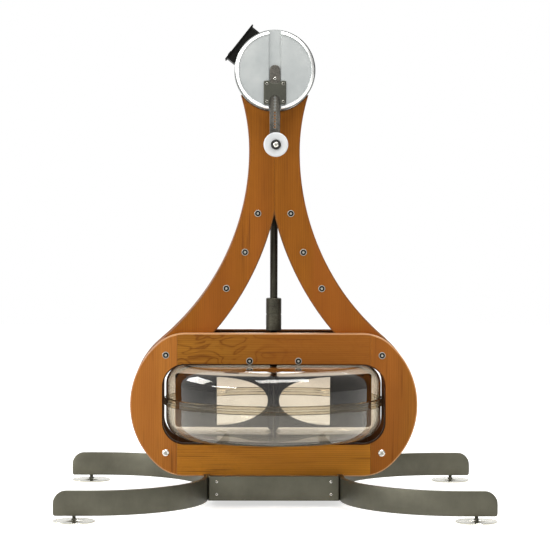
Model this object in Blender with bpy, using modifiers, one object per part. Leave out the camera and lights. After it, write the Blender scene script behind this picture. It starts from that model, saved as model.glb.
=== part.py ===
"""Upper body ergometer: a standing hand crank that turns a paddle in a round water tank.

Units are metres, +Z is up. The origin lies on the floor under the middle of the machine.
The front panel faces -Y and the user stands on the -X side. The rear half of the machine is
the front half turned by half a turn about Z, so most pieces are made once and placed twice.
"""

import math

import bmesh
import bpy
from mathutils import Matrix, Vector

# Fits
GAP = 0.0003                     # between pieces that seat on, or pass through, each other
SLIDE_GAP = 0.0004               # sideways, round a piece that slides
BOLT_GAP = 0.0005                # round a bolt's shank

# Fineness of round shapes, in sides per turn
FINE = 40
COARSE = 20
SMALL = 10
TINY = 8

EDGE = 0.0012                    # small chamfer on turned pieces

# Levelling feet
PAD_RADIUS = 0.048
PAD_RIM = 0.0026
PAD_THICKNESS = 0.0045
FOOT_HUB_RADIUS = 0.010
FOOT_CONE_RADIUS = 0.007
FOOT_CONE_HEIGHT = 0.003
FOOT_NECK_RADIUS = 0.004
STEM_RADIUS = 0.003
STEM_LENGTH = 0.018

# Bent strips of the base
STRIP_LOW = 0.0135
STRIP_HEIGHT = 0.0575
STRIP_THICKNESS = 0.010
STRIP_STRAIGHT_X = 0.161
STRIP_STRAIGHT_Y = 0.100
STRIP_BEND_RADIUS = 0.270
STRIP_REACH_X = 0.505
STRIP_TOP_CORNER = 0.030
STRIP_LOW_CORNER = 0.006
STEM_BORE_DEPTH = 0.020

# Cross plates and tray between the strips
CROSS_PLATE_Y = 0.120
CROSS_PLATE_THICKNESS = 0.005
CROSS_PLATE_LOW = 0.0139
CROSS_PLATE_HIGH = 0.0721
CROSS_PLATE_FLANGE = 0.040
TRAY_TOP = 0.0662
TRAY_THICKNESS = 0.006
TRAY_BLOCK = 0.034
TRAY_BLOCK_LOW = 0.0245

# Wooden panels
BOARD_THICKNESS = 0.025
PANEL_FACE_Y = 0.075
PANEL_HEIGHT = 0.341
PANEL_HALF_WIDTH = 0.342
PANEL_END_RADIUS = 0.194
PANEL_BLEND_RADIUS = 0.100
RAIL_HALF_LENGTH = 0.230
WINDOW_CORNER = 0.052
WINDOW_SIDE_CLEARANCE = 0.0013
WINDOW_CLEARANCE_BELOW = 0.008
WINDOW_CLEARANCE_ABOVE = 0.002
BOARD_CHAMFER = 0.0025

# Wooden tower
WAIST_Z = 0.8395
WAIST_HALF_WIDTH = 0.060
LEG_OUTER_RADIUS = 0.587
LEG_WIDTH = 0.077
FLARE_RADIUS = 0.450
HORN_BELOW_AXIS = 0.058
LEG_ARC_END_Z = 0.3895
FOOT_BLEND_Z = 0.3545
FOOT_ABOVE_WINDOW = 0.0087

# Bolts through the boards
BOLT_SHANK_RADIUS = 0.004
BOLT_HEAD_RADIUS = 0.0075
BOLT_HEAD_HEIGHT = 0.0034
SPACER_RADIUS = 0.009
LEG_TIE_ANGLES = (13.7, 22.6, 31.5)
CORNER_TIE_X = 0.257
CORNER_TIE_HIGH_Z = 0.3551
CORNER_TIE_LOW_Z = 0.1225
BRIDGE_STUD_X = 0.058
BRIDGE_STUD_Z = 0.3415

# Water tank
TANK_LOW = 0.1525
TANK_HEIGHT = 0.177
TANK_FLANGE_RADIUS = 0.262
TANK_BODY_RADIUS = 0.258
TANK_WALL = 0.004
TANK_CORNER = 0.048
TANK_FLANGE_THICKNESS = 0.0065
SEAL_THICKNESS = 0.0044
TANK_NECK_RADIUS = 0.020
TANK_NECK_HEIGHT = 0.015
PIVOT_BOSS_RADIUS = 0.016
PIVOT_BOSS_HEIGHT = 0.012
PIVOT_DEPTH = 0.008
FILL_HOLE_RADIUS = 0.018
FILL_HOLE_X = -0.100
FILL_HOLE_Y = 0.150
PLUG_RIM = 0.005
PLUG_HEAD_HEIGHT = 0.005
PLUG_BODY_DEPTH = 0.010

# Cradle under the tank and bridge above it
SHEET = 0.004
CRADLE_HALF_LENGTH = 0.110
CRADLE_FOOT = 0.022
BRIDGE_HALF_LENGTH = 0.090
BRIDGE_TOP = 0.3885
BRIDGE_LOW = 0.3350
BUSH_BODY_RADIUS = 0.016
BUSH_FLANGE_RADIUS = 0.024
BUSH_FLANGE_HEIGHT = 0.004
BUSH_DEPTH = 0.014

# Paddle
PADDLE_HALF_LENGTH = 0.236
PADDLE_HALF_HEIGHT = 0.066
PADDLE_THICKNESS = 0.004
PADDLE_HUB_RADIUS = 0.0135
PADDLE_WINDOW_OUTER = 0.136
PADDLE_WINDOW_HALF_HEIGHT = 0.061
PADDLE_SHAFT_RADIUS = 0.008
PADDLE_PIN_RADIUS = 0.006

# Drive shaft and coupling sleeve
DRIVE_SHAFT_RADIUS = 0.009
SLEEVE_RADIUS = 0.0185
SLEEVE_ABOVE_BRIDGE = 0.021
SLEEVE_HEIGHT = 0.078
SHAFT_MEETING_Z = 0.4395
SHAFT_STUB_RADIUS = 0.007

# Neck block under the drum
NECK_HALF_WIDTH = 0.048
NECK_LOW = 0.8845
NECK_BELOW_DRUM = 0.0012

# Drum
AXIS_Z = 1.0305
DRUM_RADIUS = 0.096
DRUM_WALL = 0.004
DRUM_HALF_DEPTH = 0.064
END_WALL = 0.010
AXLE_RADIUS = 0.010
DRUM_SHAFT_HOLE = 0.0125

# Crank discs, Y measured outwards from the middle plane
DISC_BACK = 0.0655
DISC_FACE = 0.0845
DISC_RIM_FACE = 0.0875
DISC_RIM_WIDTH = 0.0095
DISC_EDGE = 0.0015
CHANNEL_WIDTH = 0.0285
CHANNEL_DEPTH = 0.008

# Crank arms
ARM_WIDTH = 0.025
ARM_THICKNESS = 0.008
CRANK_LENGTH = 0.175
HOLE_RADIUS = 0.0025
HOLE_PITCH = 0.007
HOLE_COUNT = 12
FIRST_HOLE_BELOW_AXIS = 0.0575
STOP_SCREW_RADIUS = 0.004
STOP_SCREW_HEIGHT = 0.003
SPINDLE_RADIUS = 0.008
SPINDLE_BOSS_RADIUS = 0.011

# Clamp blocks
CLAMP_WIDTH = 0.053
CLAMP_HEIGHT = 0.0565
CLAMP_THICKNESS = 0.007
CLAMP_CENTRE_BELOW_AXIS = 0.053
CLAMP_CORNER = 0.004
CLAMP_SCREW_RADIUS = 0.0032
CLAMP_SCREW_HEIGHT = 0.0015
CLAMP_SCREW_INSET = 0.0075
CLAMP_TOP_NOTCH_RADIUS = 0.0215
CLAMP_TOP_NOTCH_DEPTH = 0.0065
CLAMP_LOW_NOTCH_WIDTH = 0.024
CLAMP_LOW_NOTCH_DEPTH = 0.0216

# Grips
GRIP_START = 0.0955
GRIP_LENGTH = 0.160
GRIP_END_RADIUS = 0.0283
GRIP_INNER_RADIUS = 0.024
GRIP_BODY_RADIUS = 0.0185
GRIP_FLARE = 0.022
GRIP_EDGE = 0.004
END_RING_RADIUS = 0.0115
END_RING_HEIGHT = 0.003
END_BOLT_RADIUS = 0.0064
END_BOLT_HEIGHT = 0.004

# Bevel gears
MODULE = 0.003
GEAR_TEETH = 40
PINION_TEETH = 16
FACE_WIDTH = 0.018
PRESSURE_ANGLE = math.radians(20.0)
ADDENDUM = 0.85
DEDENDUM = 1.15
BACKLASH = 0.0008
GEAR_BACK = 0.006
GEAR_LIP = 0.0005
GEAR_HUB_RECESS = 0.002

# Monitor
MONITOR_TILT = math.radians(51.7)     # from upright towards the user
MONITOR_LENGTH = 0.095
MONITOR_WIDTH = 0.130
MONITOR_FACE = 0.1095                 # distance of the front face from the drum's axis
MONITOR_SEAT = 0.0830                 # where the side walls end behind the drum's surface
BEZEL_THICKNESS = 0.003
BEZEL_OVERHANG = 0.0045
SCREEN_LENGTH = 0.056
SCREEN_WIDTH = 0.104
SCREEN_SHIFT = 0.014
SCREEN_THICKNESS = 0.0015
BUTTON_COUNT = 3
BUTTON_LENGTH = 0.011
BUTTON_WIDTH = 0.020
BUTTON_PITCH = 0.034
BUTTON_SHIFT = -0.034
BUTTON_PROUD = 0.0018
BUTTON_DEPTH = 0.0045
BUTTON_TRAVEL = 0.0012

# Levels and places that follow from the sizes above
STRIP_HIGH = STRIP_LOW + STRIP_HEIGHT
FOOT_X = STRIP_REACH_X - PAD_RADIUS
STRIP_TAIL_Y = STRIP_STRAIGHT_Y + STRIP_BEND_RADIUS
STRIP_INNER_X = STRIP_STRAIGHT_X - STRIP_THICKNESS / 2
PANEL_LOW = TRAY_TOP + GAP
PANEL_HIGH = PANEL_LOW + PANEL_HEIGHT
PANEL_MID = PANEL_LOW + PANEL_HEIGHT / 2
PANEL_BACK_Y = PANEL_FACE_Y - BOARD_THICKNESS
TOWER_BACK_Y = PANEL_BACK_Y - BOARD_THICKNESS
PANEL_END_X = PANEL_HALF_WIDTH - PANEL_END_RADIUS
TANK_HIGH = TANK_LOW + TANK_HEIGHT
TANK_SEAM = TANK_LOW + TANK_HEIGHT / 2
WINDOW_HALF_WIDTH = TANK_FLANGE_RADIUS + WINDOW_SIDE_CLEARANCE
WINDOW_LOW = TANK_LOW - WINDOW_CLEARANCE_BELOW
WINDOW_HIGH = TANK_HIGH + WINDOW_CLEARANCE_ABOVE
LEG_CENTRE_X = WAIST_HALF_WIDTH + LEG_OUTER_RADIUS
LEG_INNER_RADIUS = LEG_OUTER_RADIUS + LEG_WIDTH
LEG_MIDDLE_RADIUS = LEG_OUTER_RADIUS + LEG_WIDTH / 2
SADDLE_RADIUS = DRUM_RADIUS + 2 * GAP
DRUM_LOW = AXIS_Z - DRUM_RADIUS
PADDLE_MID = TANK_SEAM
SLEEVE_LOW = BRIDGE_TOP + SLEEVE_ABOVE_BRIDGE
HANDLE_Z = AXIS_Z - CRANK_LENGTH
CHANNEL_FLOOR = DISC_FACE - CHANNEL_DEPTH
ARM_BACK = CHANNEL_FLOOR + GAP
ARM_FACE = ARM_BACK + ARM_THICKNESS
CLAMP_TOP_BELOW_AXIS = CLAMP_CENTRE_BELOW_AXIS - CLAMP_HEIGHT / 2
STOP_SCREW_SEAT = CLAMP_TOP_BELOW_AXIS + CLAMP_TOP_NOTCH_DEPTH - STOP_SCREW_RADIUS - GAP
STOP_SCREW_BELOW_AXIS = STOP_SCREW_SEAT - HOLE_PITCH     # the arm stands one hole short of its stop
GRIP_END = GRIP_START + GRIP_LENGTH
TANK_NECK_TOP = TANK_HIGH + TANK_NECK_HEIGHT
PIVOT_FLOOR = TANK_LOW + TANK_WALL + PIVOT_BOSS_HEIGHT - PIVOT_DEPTH
MONITOR_BACK_FACE = MONITOR_FACE - BEZEL_THICKNESS


def clear_scene():
    for item in list(bpy.data.objects):
        bpy.data.objects.remove(item, do_unlink=True)


def make_material(name, colour, roughness, metallic, alpha=1.0):
    material = bpy.data.materials.new(name)
    material.use_nodes = True
    shader = material.node_tree.nodes["Principled BSDF"]
    shader.inputs["Base Color"].default_value = (*colour, 1.0)
    shader.inputs["Roughness"].default_value = roughness
    shader.inputs["Metallic"].default_value = metallic
    shader.inputs["Alpha"].default_value = alpha
    material.diffuse_color = (*colour, alpha)
    return material


def cherry():
    return make_material("oiled_cherry", (0.31, 0.107, 0.017), 0.45, 0.0)


def steel_grey():
    return make_material("coated_steel", (0.14, 0.14, 0.12), 0.5, 0.6)


def dark_steel():
    return make_material("dark_steel", (0.05, 0.05, 0.045), 0.4, 0.8)


def bright_steel():
    return make_material("bright_steel", (0.6, 0.6, 0.6), 0.25, 1.0)


def aluminium():
    return make_material("satin_aluminium", (0.58, 0.59, 0.58), 0.35, 1.0)


def smoked_clear():
    return make_material("smoked_polycarbonate", (0.55, 0.53, 0.48), 0.05, 0.0, 0.35)


def dark_plastic():
    return make_material("dark_moulded_plastic", (0.03, 0.03, 0.03), 0.45, 0.0)


def white_plastic():
    return make_material("white_moulded_plastic", (0.8, 0.8, 0.78), 0.35, 0.0)


def black_rubber():
    return make_material("black_rubber", (0.02, 0.02, 0.02), 0.8, 0.0)


def screen_glass():
    return make_material("screen_lens", (0.01, 0.012, 0.012), 0.1, 0.0)


def make_object(name, mesh, collection):
    item = bpy.data.objects.new(name, mesh)
    collection.objects.link(item)
    return item


def box(name, low, high, collection):
    """Box between two corners."""
    mesh = bpy.data.meshes.new(name)
    shape = bmesh.new()
    bmesh.ops.create_cube(shape, size=1.0)
    size = Vector(high) - Vector(low)
    middle = (Vector(high) + Vector(low)) / 2
    bmesh.ops.scale(shape, vec=size, verts=shape.verts)
    bmesh.ops.translate(shape, vec=middle, verts=shape.verts)
    shape.to_mesh(mesh)
    shape.free()
    return make_object(name, mesh, collection)


def cylinder(name, radius, start, end, sides, collection):
    """Round bar from one point to another."""
    start = Vector(start)
    along = Vector(end) - start
    mesh = bpy.data.meshes.new(name)
    shape = bmesh.new()
    bmesh.ops.create_cone(
        shape, cap_ends=True, segments=sides, radius1=radius, radius2=radius, depth=along.length
    )
    turn = along.to_track_quat("Z", "Y").to_matrix().to_4x4()
    place = Matrix.Translation(start + along / 2) @ turn
    bmesh.ops.transform(shape, matrix=place, verts=shape.verts)
    shape.to_mesh(mesh)
    shape.free()
    return make_object(name, mesh, collection)


def settle(item):
    """Replace an object's mesh by what its modifiers, or its curve, give."""
    bpy.context.view_layer.update()
    graph = bpy.context.evaluated_depsgraph_get()
    mesh = bpy.data.meshes.new_from_object(item.evaluated_get(graph))
    mesh.name = item.name
    item.modifiers.clear()
    item.data = mesh
    return item


def turned(name, profile, sides, collection, closed=False):
    """Turned body about local Z from (radius, height) points that run down the outer side."""
    mesh = bpy.data.meshes.new(name)
    points = [(radius, 0.0, height) for radius, height in profile]
    edges = [(index, index + 1) for index in range(len(points) - 1)]
    if closed:
        edges.append((len(points) - 1, 0))
    mesh.from_pydata(points, edges, [])
    item = make_object(name, mesh, collection)
    screw = item.modifiers.new("turn", "SCREW")
    screw.steps = sides
    screw.render_steps = sides
    screw.use_merge_vertices = True
    screw.merge_threshold = 0.00001
    return settle(item)


def plate(name, outlines, low, high, collection, chamfer=0.0):
    """Flat body with an outline, and holes, in XZ; low and high are its two faces along -Y."""
    curve = bpy.data.curves.new(name, "CURVE")
    curve.dimensions = "2D"
    curve.fill_mode = "BOTH"
    curve.extrude = (high - low) / 2 - chamfer
    curve.bevel_depth = chamfer
    curve.bevel_resolution = 0
    curve.offset = -chamfer
    for outline in outlines:
        spline = curve.splines.new("POLY")
        spline.points.add(len(outline) - 1)
        for point, (across, up) in zip(spline.points, outline):
            point.co = (across, up, 0.0, 1.0)
        spline.use_cyclic_u = True
    guide = bpy.data.objects.new(name + "_outline", curve)
    collection.objects.link(guide)
    bpy.context.view_layer.update()
    graph = bpy.context.evaluated_depsgraph_get()
    mesh = bpy.data.meshes.new_from_object(guide.evaluated_get(graph))
    bpy.data.objects.remove(guide, do_unlink=True)
    shape = bmesh.new()
    shape.from_mesh(mesh)
    bmesh.ops.remove_doubles(shape, verts=shape.verts, dist=0.00001)
    bmesh.ops.recalc_face_normals(shape, faces=shape.faces)
    upright = Matrix.Rotation(math.radians(90.0), 4, "X")
    place = Matrix.Translation((0.0, -(low + high) / 2, 0.0)) @ upright
    bmesh.ops.transform(shape, matrix=place, verts=shape.verts)
    shape.to_mesh(mesh)
    shape.free()
    mesh.name = name
    return make_object(name, mesh, collection)


def combine(item, others, operation):
    """Cut, join or intersect an object with others, which are then removed."""
    for other in others:
        step = item.modifiers.new(operation.lower(), "BOOLEAN")
        step.operation = operation
        step.solver = "EXACT"
        step.object = other
    settle(item)
    for other in others:
        bpy.data.objects.remove(other, do_unlink=True)
    return item


def cut(item, cutters):
    return combine(item, cutters, "DIFFERENCE")


def join(item, others):
    return combine(item, others, "UNION")


def move_mesh(item, matrix):
    item.data.transform(matrix)
    return item


def set_origin(item, point):
    """Put the object's origin at a point and leave its shape where it is."""
    item.data.transform(Matrix.Translation(-Vector(point)))
    item.location = Vector(point)
    return item


def lay_flat(item):
    """Turn a plate made in XZ so that its outline lies in XY and its faces face up and down."""
    return move_mesh(item, Matrix.Rotation(math.radians(-90.0), 4, "X"))


def dress(item, material, angle=35.0):
    item.data.materials.clear()
    item.data.materials.append(material)
    item.data.shade_smooth()
    item.data.set_sharp_from_angle(angle=math.radians(angle))
    return item


def half_turn_copy(item, name, collection):
    """The same piece on the other side of the machine, half a turn about Z."""
    copy = bpy.data.objects.new(name, item.data)
    copy.location = (-item.location.x, -item.location.y, item.location.z)
    copy.rotation_euler = (0.0, 0.0, math.pi)
    collection.objects.link(copy)
    return copy


def arc(centre, radius, start, end, count):
    """Points along an arc, angles in radians from +X, both ends included."""
    points = []
    for index in range(count):
        angle = start + (end - start) * index / (count - 1)
        points.append((centre[0] + radius * math.cos(angle), centre[1] + radius * math.sin(angle)))
    return points


def rounded_rectangle(low, high, radius, count):
    """Outline of a rectangle with rounded corners, anticlockwise from the lower right."""
    quarter = math.pi / 2
    return (
        arc((high[0] - radius, low[1] + radius), radius, -quarter, 0.0, count)
        + arc((high[0] - radius, high[1] - radius), radius, 0.0, quarter, count)
        + arc((low[0] + radius, high[1] - radius), radius, quarter, 2 * quarter, count)
        + arc((low[0] + radius, low[1] + radius), radius, 2 * quarter, 3 * quarter, count)
    )


def mirrored(points):
    """The outline on the other side of X = 0, in reverse order."""
    return [(-across, up) for across, up in reversed(points)]


# Wooden panels

def panel_outline():
    """Outline with straight top and bottom, round ends and a blend arc between them."""
    blend_rise = PANEL_HEIGHT / 2 - PANEL_BLEND_RADIUS
    reach = PANEL_END_RADIUS - PANEL_BLEND_RADIUS
    blend_x = PANEL_END_X + math.sqrt(reach ** 2 - blend_rise ** 2)
    meeting = math.atan2(blend_rise, blend_x - PANEL_END_X)
    quarter = math.pi / 2
    low_blend = arc((blend_x, PANEL_MID - blend_rise), PANEL_BLEND_RADIUS, -quarter, -meeting, 5)
    end = arc((PANEL_END_X, PANEL_MID), PANEL_END_RADIUS, -meeting, meeting, 11)
    high_blend = arc((blend_x, PANEL_MID + blend_rise), PANEL_BLEND_RADIUS, meeting, quarter, 5)
    right = low_blend + end[1:-1] + high_blend
    return right + mirrored(right)


def window_outline():
    low = (-WINDOW_HALF_WIDTH, WINDOW_LOW)
    high = (WINDOW_HALF_WIDTH, WINDOW_HIGH)
    return rounded_rectangle(low, high, WINDOW_CORNER, 6)


def panel_board(name, low, high, bores, collection):
    """The part of the front panel inside a box in X and Z, with its bolt holes."""
    board = plate(
        name, [panel_outline(), window_outline()], PANEL_BACK_Y, PANEL_FACE_Y, collection, BOARD_CHAMFER
    )
    keep = box(
        "keep",
        (low[0], -PANEL_FACE_Y - BOARD_THICKNESS, low[1]),
        (high[0], -PANEL_BACK_Y + BOARD_THICKNESS, high[1]),
        collection,
    )
    combine(board, [keep], "INTERSECT")
    cut(board, [board_bore(across, up, collection) for across, up in bores])
    return dress(board, cherry())


def board_bore(across, up, collection):
    radius = BOLT_SHANK_RADIUS + BOLT_GAP
    return cylinder("bore", radius, (across, -0.2, up), (across, 0.0, up), TINY, collection)


def strip_notches(collection):
    """Slots in the bottom rail that let it sit down over the two base strips."""
    notches = []
    half = STRIP_THICKNESS / 2 + GAP
    for side in (-1, 1):
        middle = side * STRIP_STRAIGHT_X
        low = (middle - half, -PANEL_FACE_Y - BOARD_THICKNESS, PANEL_LOW - BOARD_THICKNESS)
        high = (middle + half, -PANEL_BACK_Y + BOARD_THICKNESS, STRIP_HIGH + GAP)
        notches.append(box("notch", low, high, collection))
    return notches


def make_panels(collection):
    """Two end boards and two rails on each side; the joints keep a hair's breadth."""
    joint = RAIL_HALF_LENGTH
    far = PANEL_HALF_WIDTH * 2
    top = PANEL_HIGH + BOARD_THICKNESS
    bottom = PANEL_LOW - BOARD_THICKNESS
    corner_bores = [(CORNER_TIE_X, CORNER_TIE_HIGH_Z), (CORNER_TIE_X, CORNER_TIE_LOW_Z)]
    right = panel_board(
        "panel_front_end_right", (joint + GAP, bottom), (far, top), corner_bores, collection
    )
    left = panel_board(
        "panel_front_end_left", (-far, bottom), (-joint - GAP, top),
        [(-across, up) for across, up in corner_bores], collection,
    )
    studs = [(BRIDGE_STUD_X, BRIDGE_STUD_Z), (-BRIDGE_STUD_X, BRIDGE_STUD_Z)]
    top_rail = panel_board(
        "panel_front_rail_top", (-joint, PANEL_MID), (joint, top), studs, collection
    )
    low_rail = panel_board(
        "panel_front_rail_low", (-joint, bottom), (joint, PANEL_MID), [], collection
    )
    dress(cut(low_rail, strip_notches(collection)), cherry())
    half_turn_copy(right, "panel_rear_end_left", collection)
    half_turn_copy(left, "panel_rear_end_right", collection)
    half_turn_copy(top_rail, "panel_rear_rail_top", collection)
    half_turn_copy(low_rail, "panel_rear_rail_low", collection)


# Wooden tower

def tower_outline():
    """Right board: saddle, horn, flare, waist, leg, foot behind the panel and the glue line."""
    glue_x = GAP / 2
    horn_z = AXIS_Z - HORN_BELOW_AXIS
    saddle_start = math.asin(-HORN_BELOW_AXIS / SADDLE_RADIUS)
    saddle_end = -math.acos(glue_x / SADDLE_RADIUS)
    flare_centre = (WAIST_HALF_WIDTH + FLARE_RADIUS, WAIST_Z)
    flare_start = math.pi - math.asin((horn_z - WAIST_Z) / FLARE_RADIUS)
    leg_centre = (LEG_CENTRE_X, WAIST_Z)
    outer_end = math.pi + math.asin((WAIST_Z - LEG_ARC_END_Z) / LEG_OUTER_RADIUS)
    foot_z = WINDOW_HIGH + FOOT_ABOVE_WINDOW
    blend_start = math.asin((FOOT_BLEND_Z - PANEL_MID) / PANEL_END_RADIUS)
    blend_end = math.asin((foot_z - PANEL_MID) / PANEL_END_RADIUS)
    inner_start = math.pi + math.asin((WAIST_Z - foot_z) / LEG_INNER_RADIUS)
    inner_end = math.pi + math.acos((LEG_CENTRE_X - glue_x) / LEG_INNER_RADIUS)
    points = arc((0.0, AXIS_Z), SADDLE_RADIUS, saddle_end, saddle_start, 7)
    points += arc(flare_centre, FLARE_RADIUS, flare_start, math.pi, 5)
    points += arc(leg_centre, LEG_OUTER_RADIUS, math.pi, outer_end, 12)[1:]
    points += arc((PANEL_END_X, PANEL_MID), PANEL_END_RADIUS, blend_start, blend_end, 3)
    points += arc(leg_centre, LEG_INNER_RADIUS, inner_start, inner_end, 11)
    return points


def leg_tie_places():
    """Bolt places on the right leg's middle line, at angles below the leg arc's centre."""
    places = []
    for degrees in LEG_TIE_ANGLES:
        angle = math.radians(degrees)
        across = LEG_CENTRE_X - LEG_MIDDLE_RADIUS * math.cos(angle)
        places.append((across, WAIST_Z - LEG_MIDDLE_RADIUS * math.sin(angle)))
    return places


def make_tower(collection):
    bores = leg_tie_places() + [(CORNER_TIE_X, CORNER_TIE_HIGH_Z)]
    for side, name in ((1, "right"), (-1, "left")):
        outline = tower_outline() if side == 1 else mirrored(tower_outline())
        board = plate(
            "tower_front_" + name, [outline], TOWER_BACK_Y, PANEL_BACK_Y - GAP, collection, BOARD_CHAMFER
        )
        cut(board, [board_bore(side * across, up, collection) for across, up in bores])
        dress(board, cherry())
        other = "left" if name == "right" else "right"
        half_turn_copy(board, "tower_rear_" + other, collection)


# Bolts with spacer tubes between the front and rear boards

def bolt_half(face):
    """Profile of a button head on a face, down to the shank."""
    head = face + GAP
    crown = head + BOLT_HEAD_HEIGHT
    return [
        (0.0, crown),
        (BOLT_HEAD_RADIUS * 0.7, crown),
        (BOLT_HEAD_RADIUS, head + BOLT_HEAD_HEIGHT * 0.5),
        (BOLT_HEAD_RADIUS, head),
        (BOLT_SHANK_RADIUS, head),
    ]


def both_ways(half):
    """The half profile and its mirror image beyond the middle plane."""
    return half + [(radius, -height) for radius, height in reversed(half)]


def tie_rod(name, place, face, spacer_half, collection):
    """Bolt with a button head on both outer faces and a spacer tube in its middle."""
    spacer = [(BOLT_SHANK_RADIUS, spacer_half), (SPACER_RADIUS, spacer_half)]
    rod = turned(name, both_ways(bolt_half(face) + spacer), SMALL, collection)
    rod.rotation_euler = (math.radians(90.0), 0.0, 0.0)
    rod.location = (place[0], 0.0, place[1])
    return dress(rod, bright_steel())


def make_ties(collection):
    tower_spacer = TOWER_BACK_Y - GAP
    panel_spacer = PANEL_BACK_Y - GAP
    for side, name in ((1, "right"), (-1, "left")):
        for number, (across, up) in enumerate(leg_tie_places(), start=1):
            rod_name = "leg_tie_{}_{}".format(name, number)
            tie_rod(rod_name, (side * across, up), PANEL_BACK_Y - GAP, tower_spacer, collection)
        across = side * CORNER_TIE_X
        tie_rod("corner_tie_high_" + name, (across, CORNER_TIE_HIGH_Z), PANEL_FACE_Y, tower_spacer, collection)
        tie_rod("corner_tie_low_" + name, (across, CORNER_TIE_LOW_Z), PANEL_FACE_Y, panel_spacer, collection)


# Base

def strip_outline():
    """Right strip seen from above: straight behind the cross plates, two bends and two tails."""
    half = STRIP_THICKNESS / 2
    centre_x = STRIP_STRAIGHT_X + STRIP_BEND_RADIUS
    quarter = math.pi / 2
    inner = arc((centre_x, STRIP_STRAIGHT_Y), STRIP_BEND_RADIUS - half, quarter, 2 * quarter, 10)
    outer = arc((centre_x, STRIP_STRAIGHT_Y), STRIP_BEND_RADIUS + half, 2 * quarter, quarter, 10)
    inner_far = [(STRIP_REACH_X, STRIP_TAIL_Y - half)] + inner
    outer_far = outer + [(STRIP_REACH_X, STRIP_TAIL_Y + half)]
    inner_near = [(across, -up) for across, up in reversed(inner_far)]
    outer_near = [(across, -up) for across, up in reversed(outer_far)]
    return inner_far + inner_near + outer_near + outer_far


def strip_side_outline():
    """Side view of the right strip, with the rounded corners of its far ends."""
    quarter = math.pi / 2
    low = arc((STRIP_REACH_X - STRIP_LOW_CORNER, STRIP_LOW + STRIP_LOW_CORNER), STRIP_LOW_CORNER, -quarter, 0.0, 3)
    high = arc((STRIP_REACH_X - STRIP_TOP_CORNER, STRIP_HIGH - STRIP_TOP_CORNER), STRIP_TOP_CORNER, 0.0, quarter, 5)
    return [(0.0, STRIP_LOW)] + low + high + [(0.0, STRIP_HIGH)]


def make_strips(collection):
    strip = plate("base_strip_right", [strip_outline()], STRIP_LOW, STRIP_HIGH, collection)
    lay_flat(strip)
    reach_y = STRIP_TAIL_Y + STRIP_THICKNESS * 2
    side = plate("side", [strip_side_outline()], -reach_y, reach_y, collection)
    combine(strip, [side], "INTERSECT")
    bores = []
    for along in (-STRIP_TAIL_Y, STRIP_TAIL_Y):
        mouth = (FOOT_X, along, STRIP_LOW - STRIP_THICKNESS)
        end = (FOOT_X, along, STRIP_LOW + STEM_BORE_DEPTH)
        bores.append(cylinder("bore", STEM_RADIUS + GAP, mouth, end, SMALL, collection))
    cut(strip, bores)
    dress(strip, steel_grey())
    half_turn_copy(strip, "base_strip_left", collection)


def cross_plate_outline():
    """Front cross plate seen from above, bent back along the strips at both ends."""
    outer_x = STRIP_INNER_X - GAP
    inner_x = outer_x - CROSS_PLATE_THICKNESS
    face = -CROSS_PLATE_Y
    back = face + CROSS_PLATE_THICKNESS
    flange = face + CROSS_PLATE_FLANGE
    return [
        (-outer_x, face), (outer_x, face), (outer_x, flange), (inner_x, flange),
        (inner_x, back), (-inner_x, back), (-inner_x, flange), (-outer_x, flange),
    ]


def make_cross_plates(collection):
    front = plate(
        "base_cross_plate_front", [cross_plate_outline()], CROSS_PLATE_LOW, CROSS_PLATE_HIGH, collection
    )
    lay_flat(front)
    dress(front, steel_grey())
    half_turn_copy(front, "base_cross_plate_rear", collection)


def make_tray(collection):
    """Plate that the boards stand on, with four blocks that the cross plates bolt to."""
    half_x = STRIP_INNER_X - CROSS_PLATE_THICKNESS - 2 * GAP
    half_y = CROSS_PLATE_Y - CROSS_PLATE_THICKNESS - GAP
    tray = box(
        "base_tray", (-half_x, -half_y, TRAY_TOP - TRAY_THICKNESS), (half_x, half_y, TRAY_TOP), collection
    )
    blocks = []
    for side_x in (-1, 1):
        for side_y in (-1, 1):
            corners_x = sorted((side_x * half_x, side_x * (half_x - TRAY_BLOCK)))
            corners_y = sorted((side_y * half_y, side_y * (half_y - TRAY_BLOCK)))
            low = (corners_x[0], corners_y[0], TRAY_BLOCK_LOW)
            high = (corners_x[1], corners_y[1], TRAY_TOP - TRAY_THICKNESS / 2)
            blocks.append(box("block", low, high, collection))
    join(tray, blocks)
    dress(tray, steel_grey())


def make_feet(collection):
    """Round pads with a conical hub and a stem that screws up into the strip's lower edge."""
    shoulder = STRIP_LOW - GAP
    stem_top = shoulder + STEM_LENGTH
    cone_top = PAD_THICKNESS + FOOT_CONE_HEIGHT
    profile = [
        (0.0, stem_top),
        (STEM_RADIUS, stem_top),
        (STEM_RADIUS, shoulder),
        (FOOT_NECK_RADIUS, shoulder),
        (FOOT_NECK_RADIUS, cone_top),
        (FOOT_CONE_RADIUS, PAD_THICKNESS),
        (FOOT_HUB_RADIUS, PAD_THICKNESS),
        (PAD_RADIUS - EDGE, PAD_RIM),
        (PAD_RADIUS, PAD_RIM - EDGE),
        (PAD_RADIUS, EDGE),
        (PAD_RADIUS - EDGE, 0.0),
        (0.0, 0.0),
    ]
    for side_x, side_name in ((-1, "left"), (1, "right")):
        for side_y, face_name in ((-1, "front"), (1, "rear")):
            foot = turned("foot_{}_{}".format(face_name, side_name), profile, COARSE, collection)
            foot.location = (side_x * FOOT_X, side_y * STRIP_TAIL_Y, 0.0)
            dress(foot, bright_steel())


# Water tank

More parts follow.
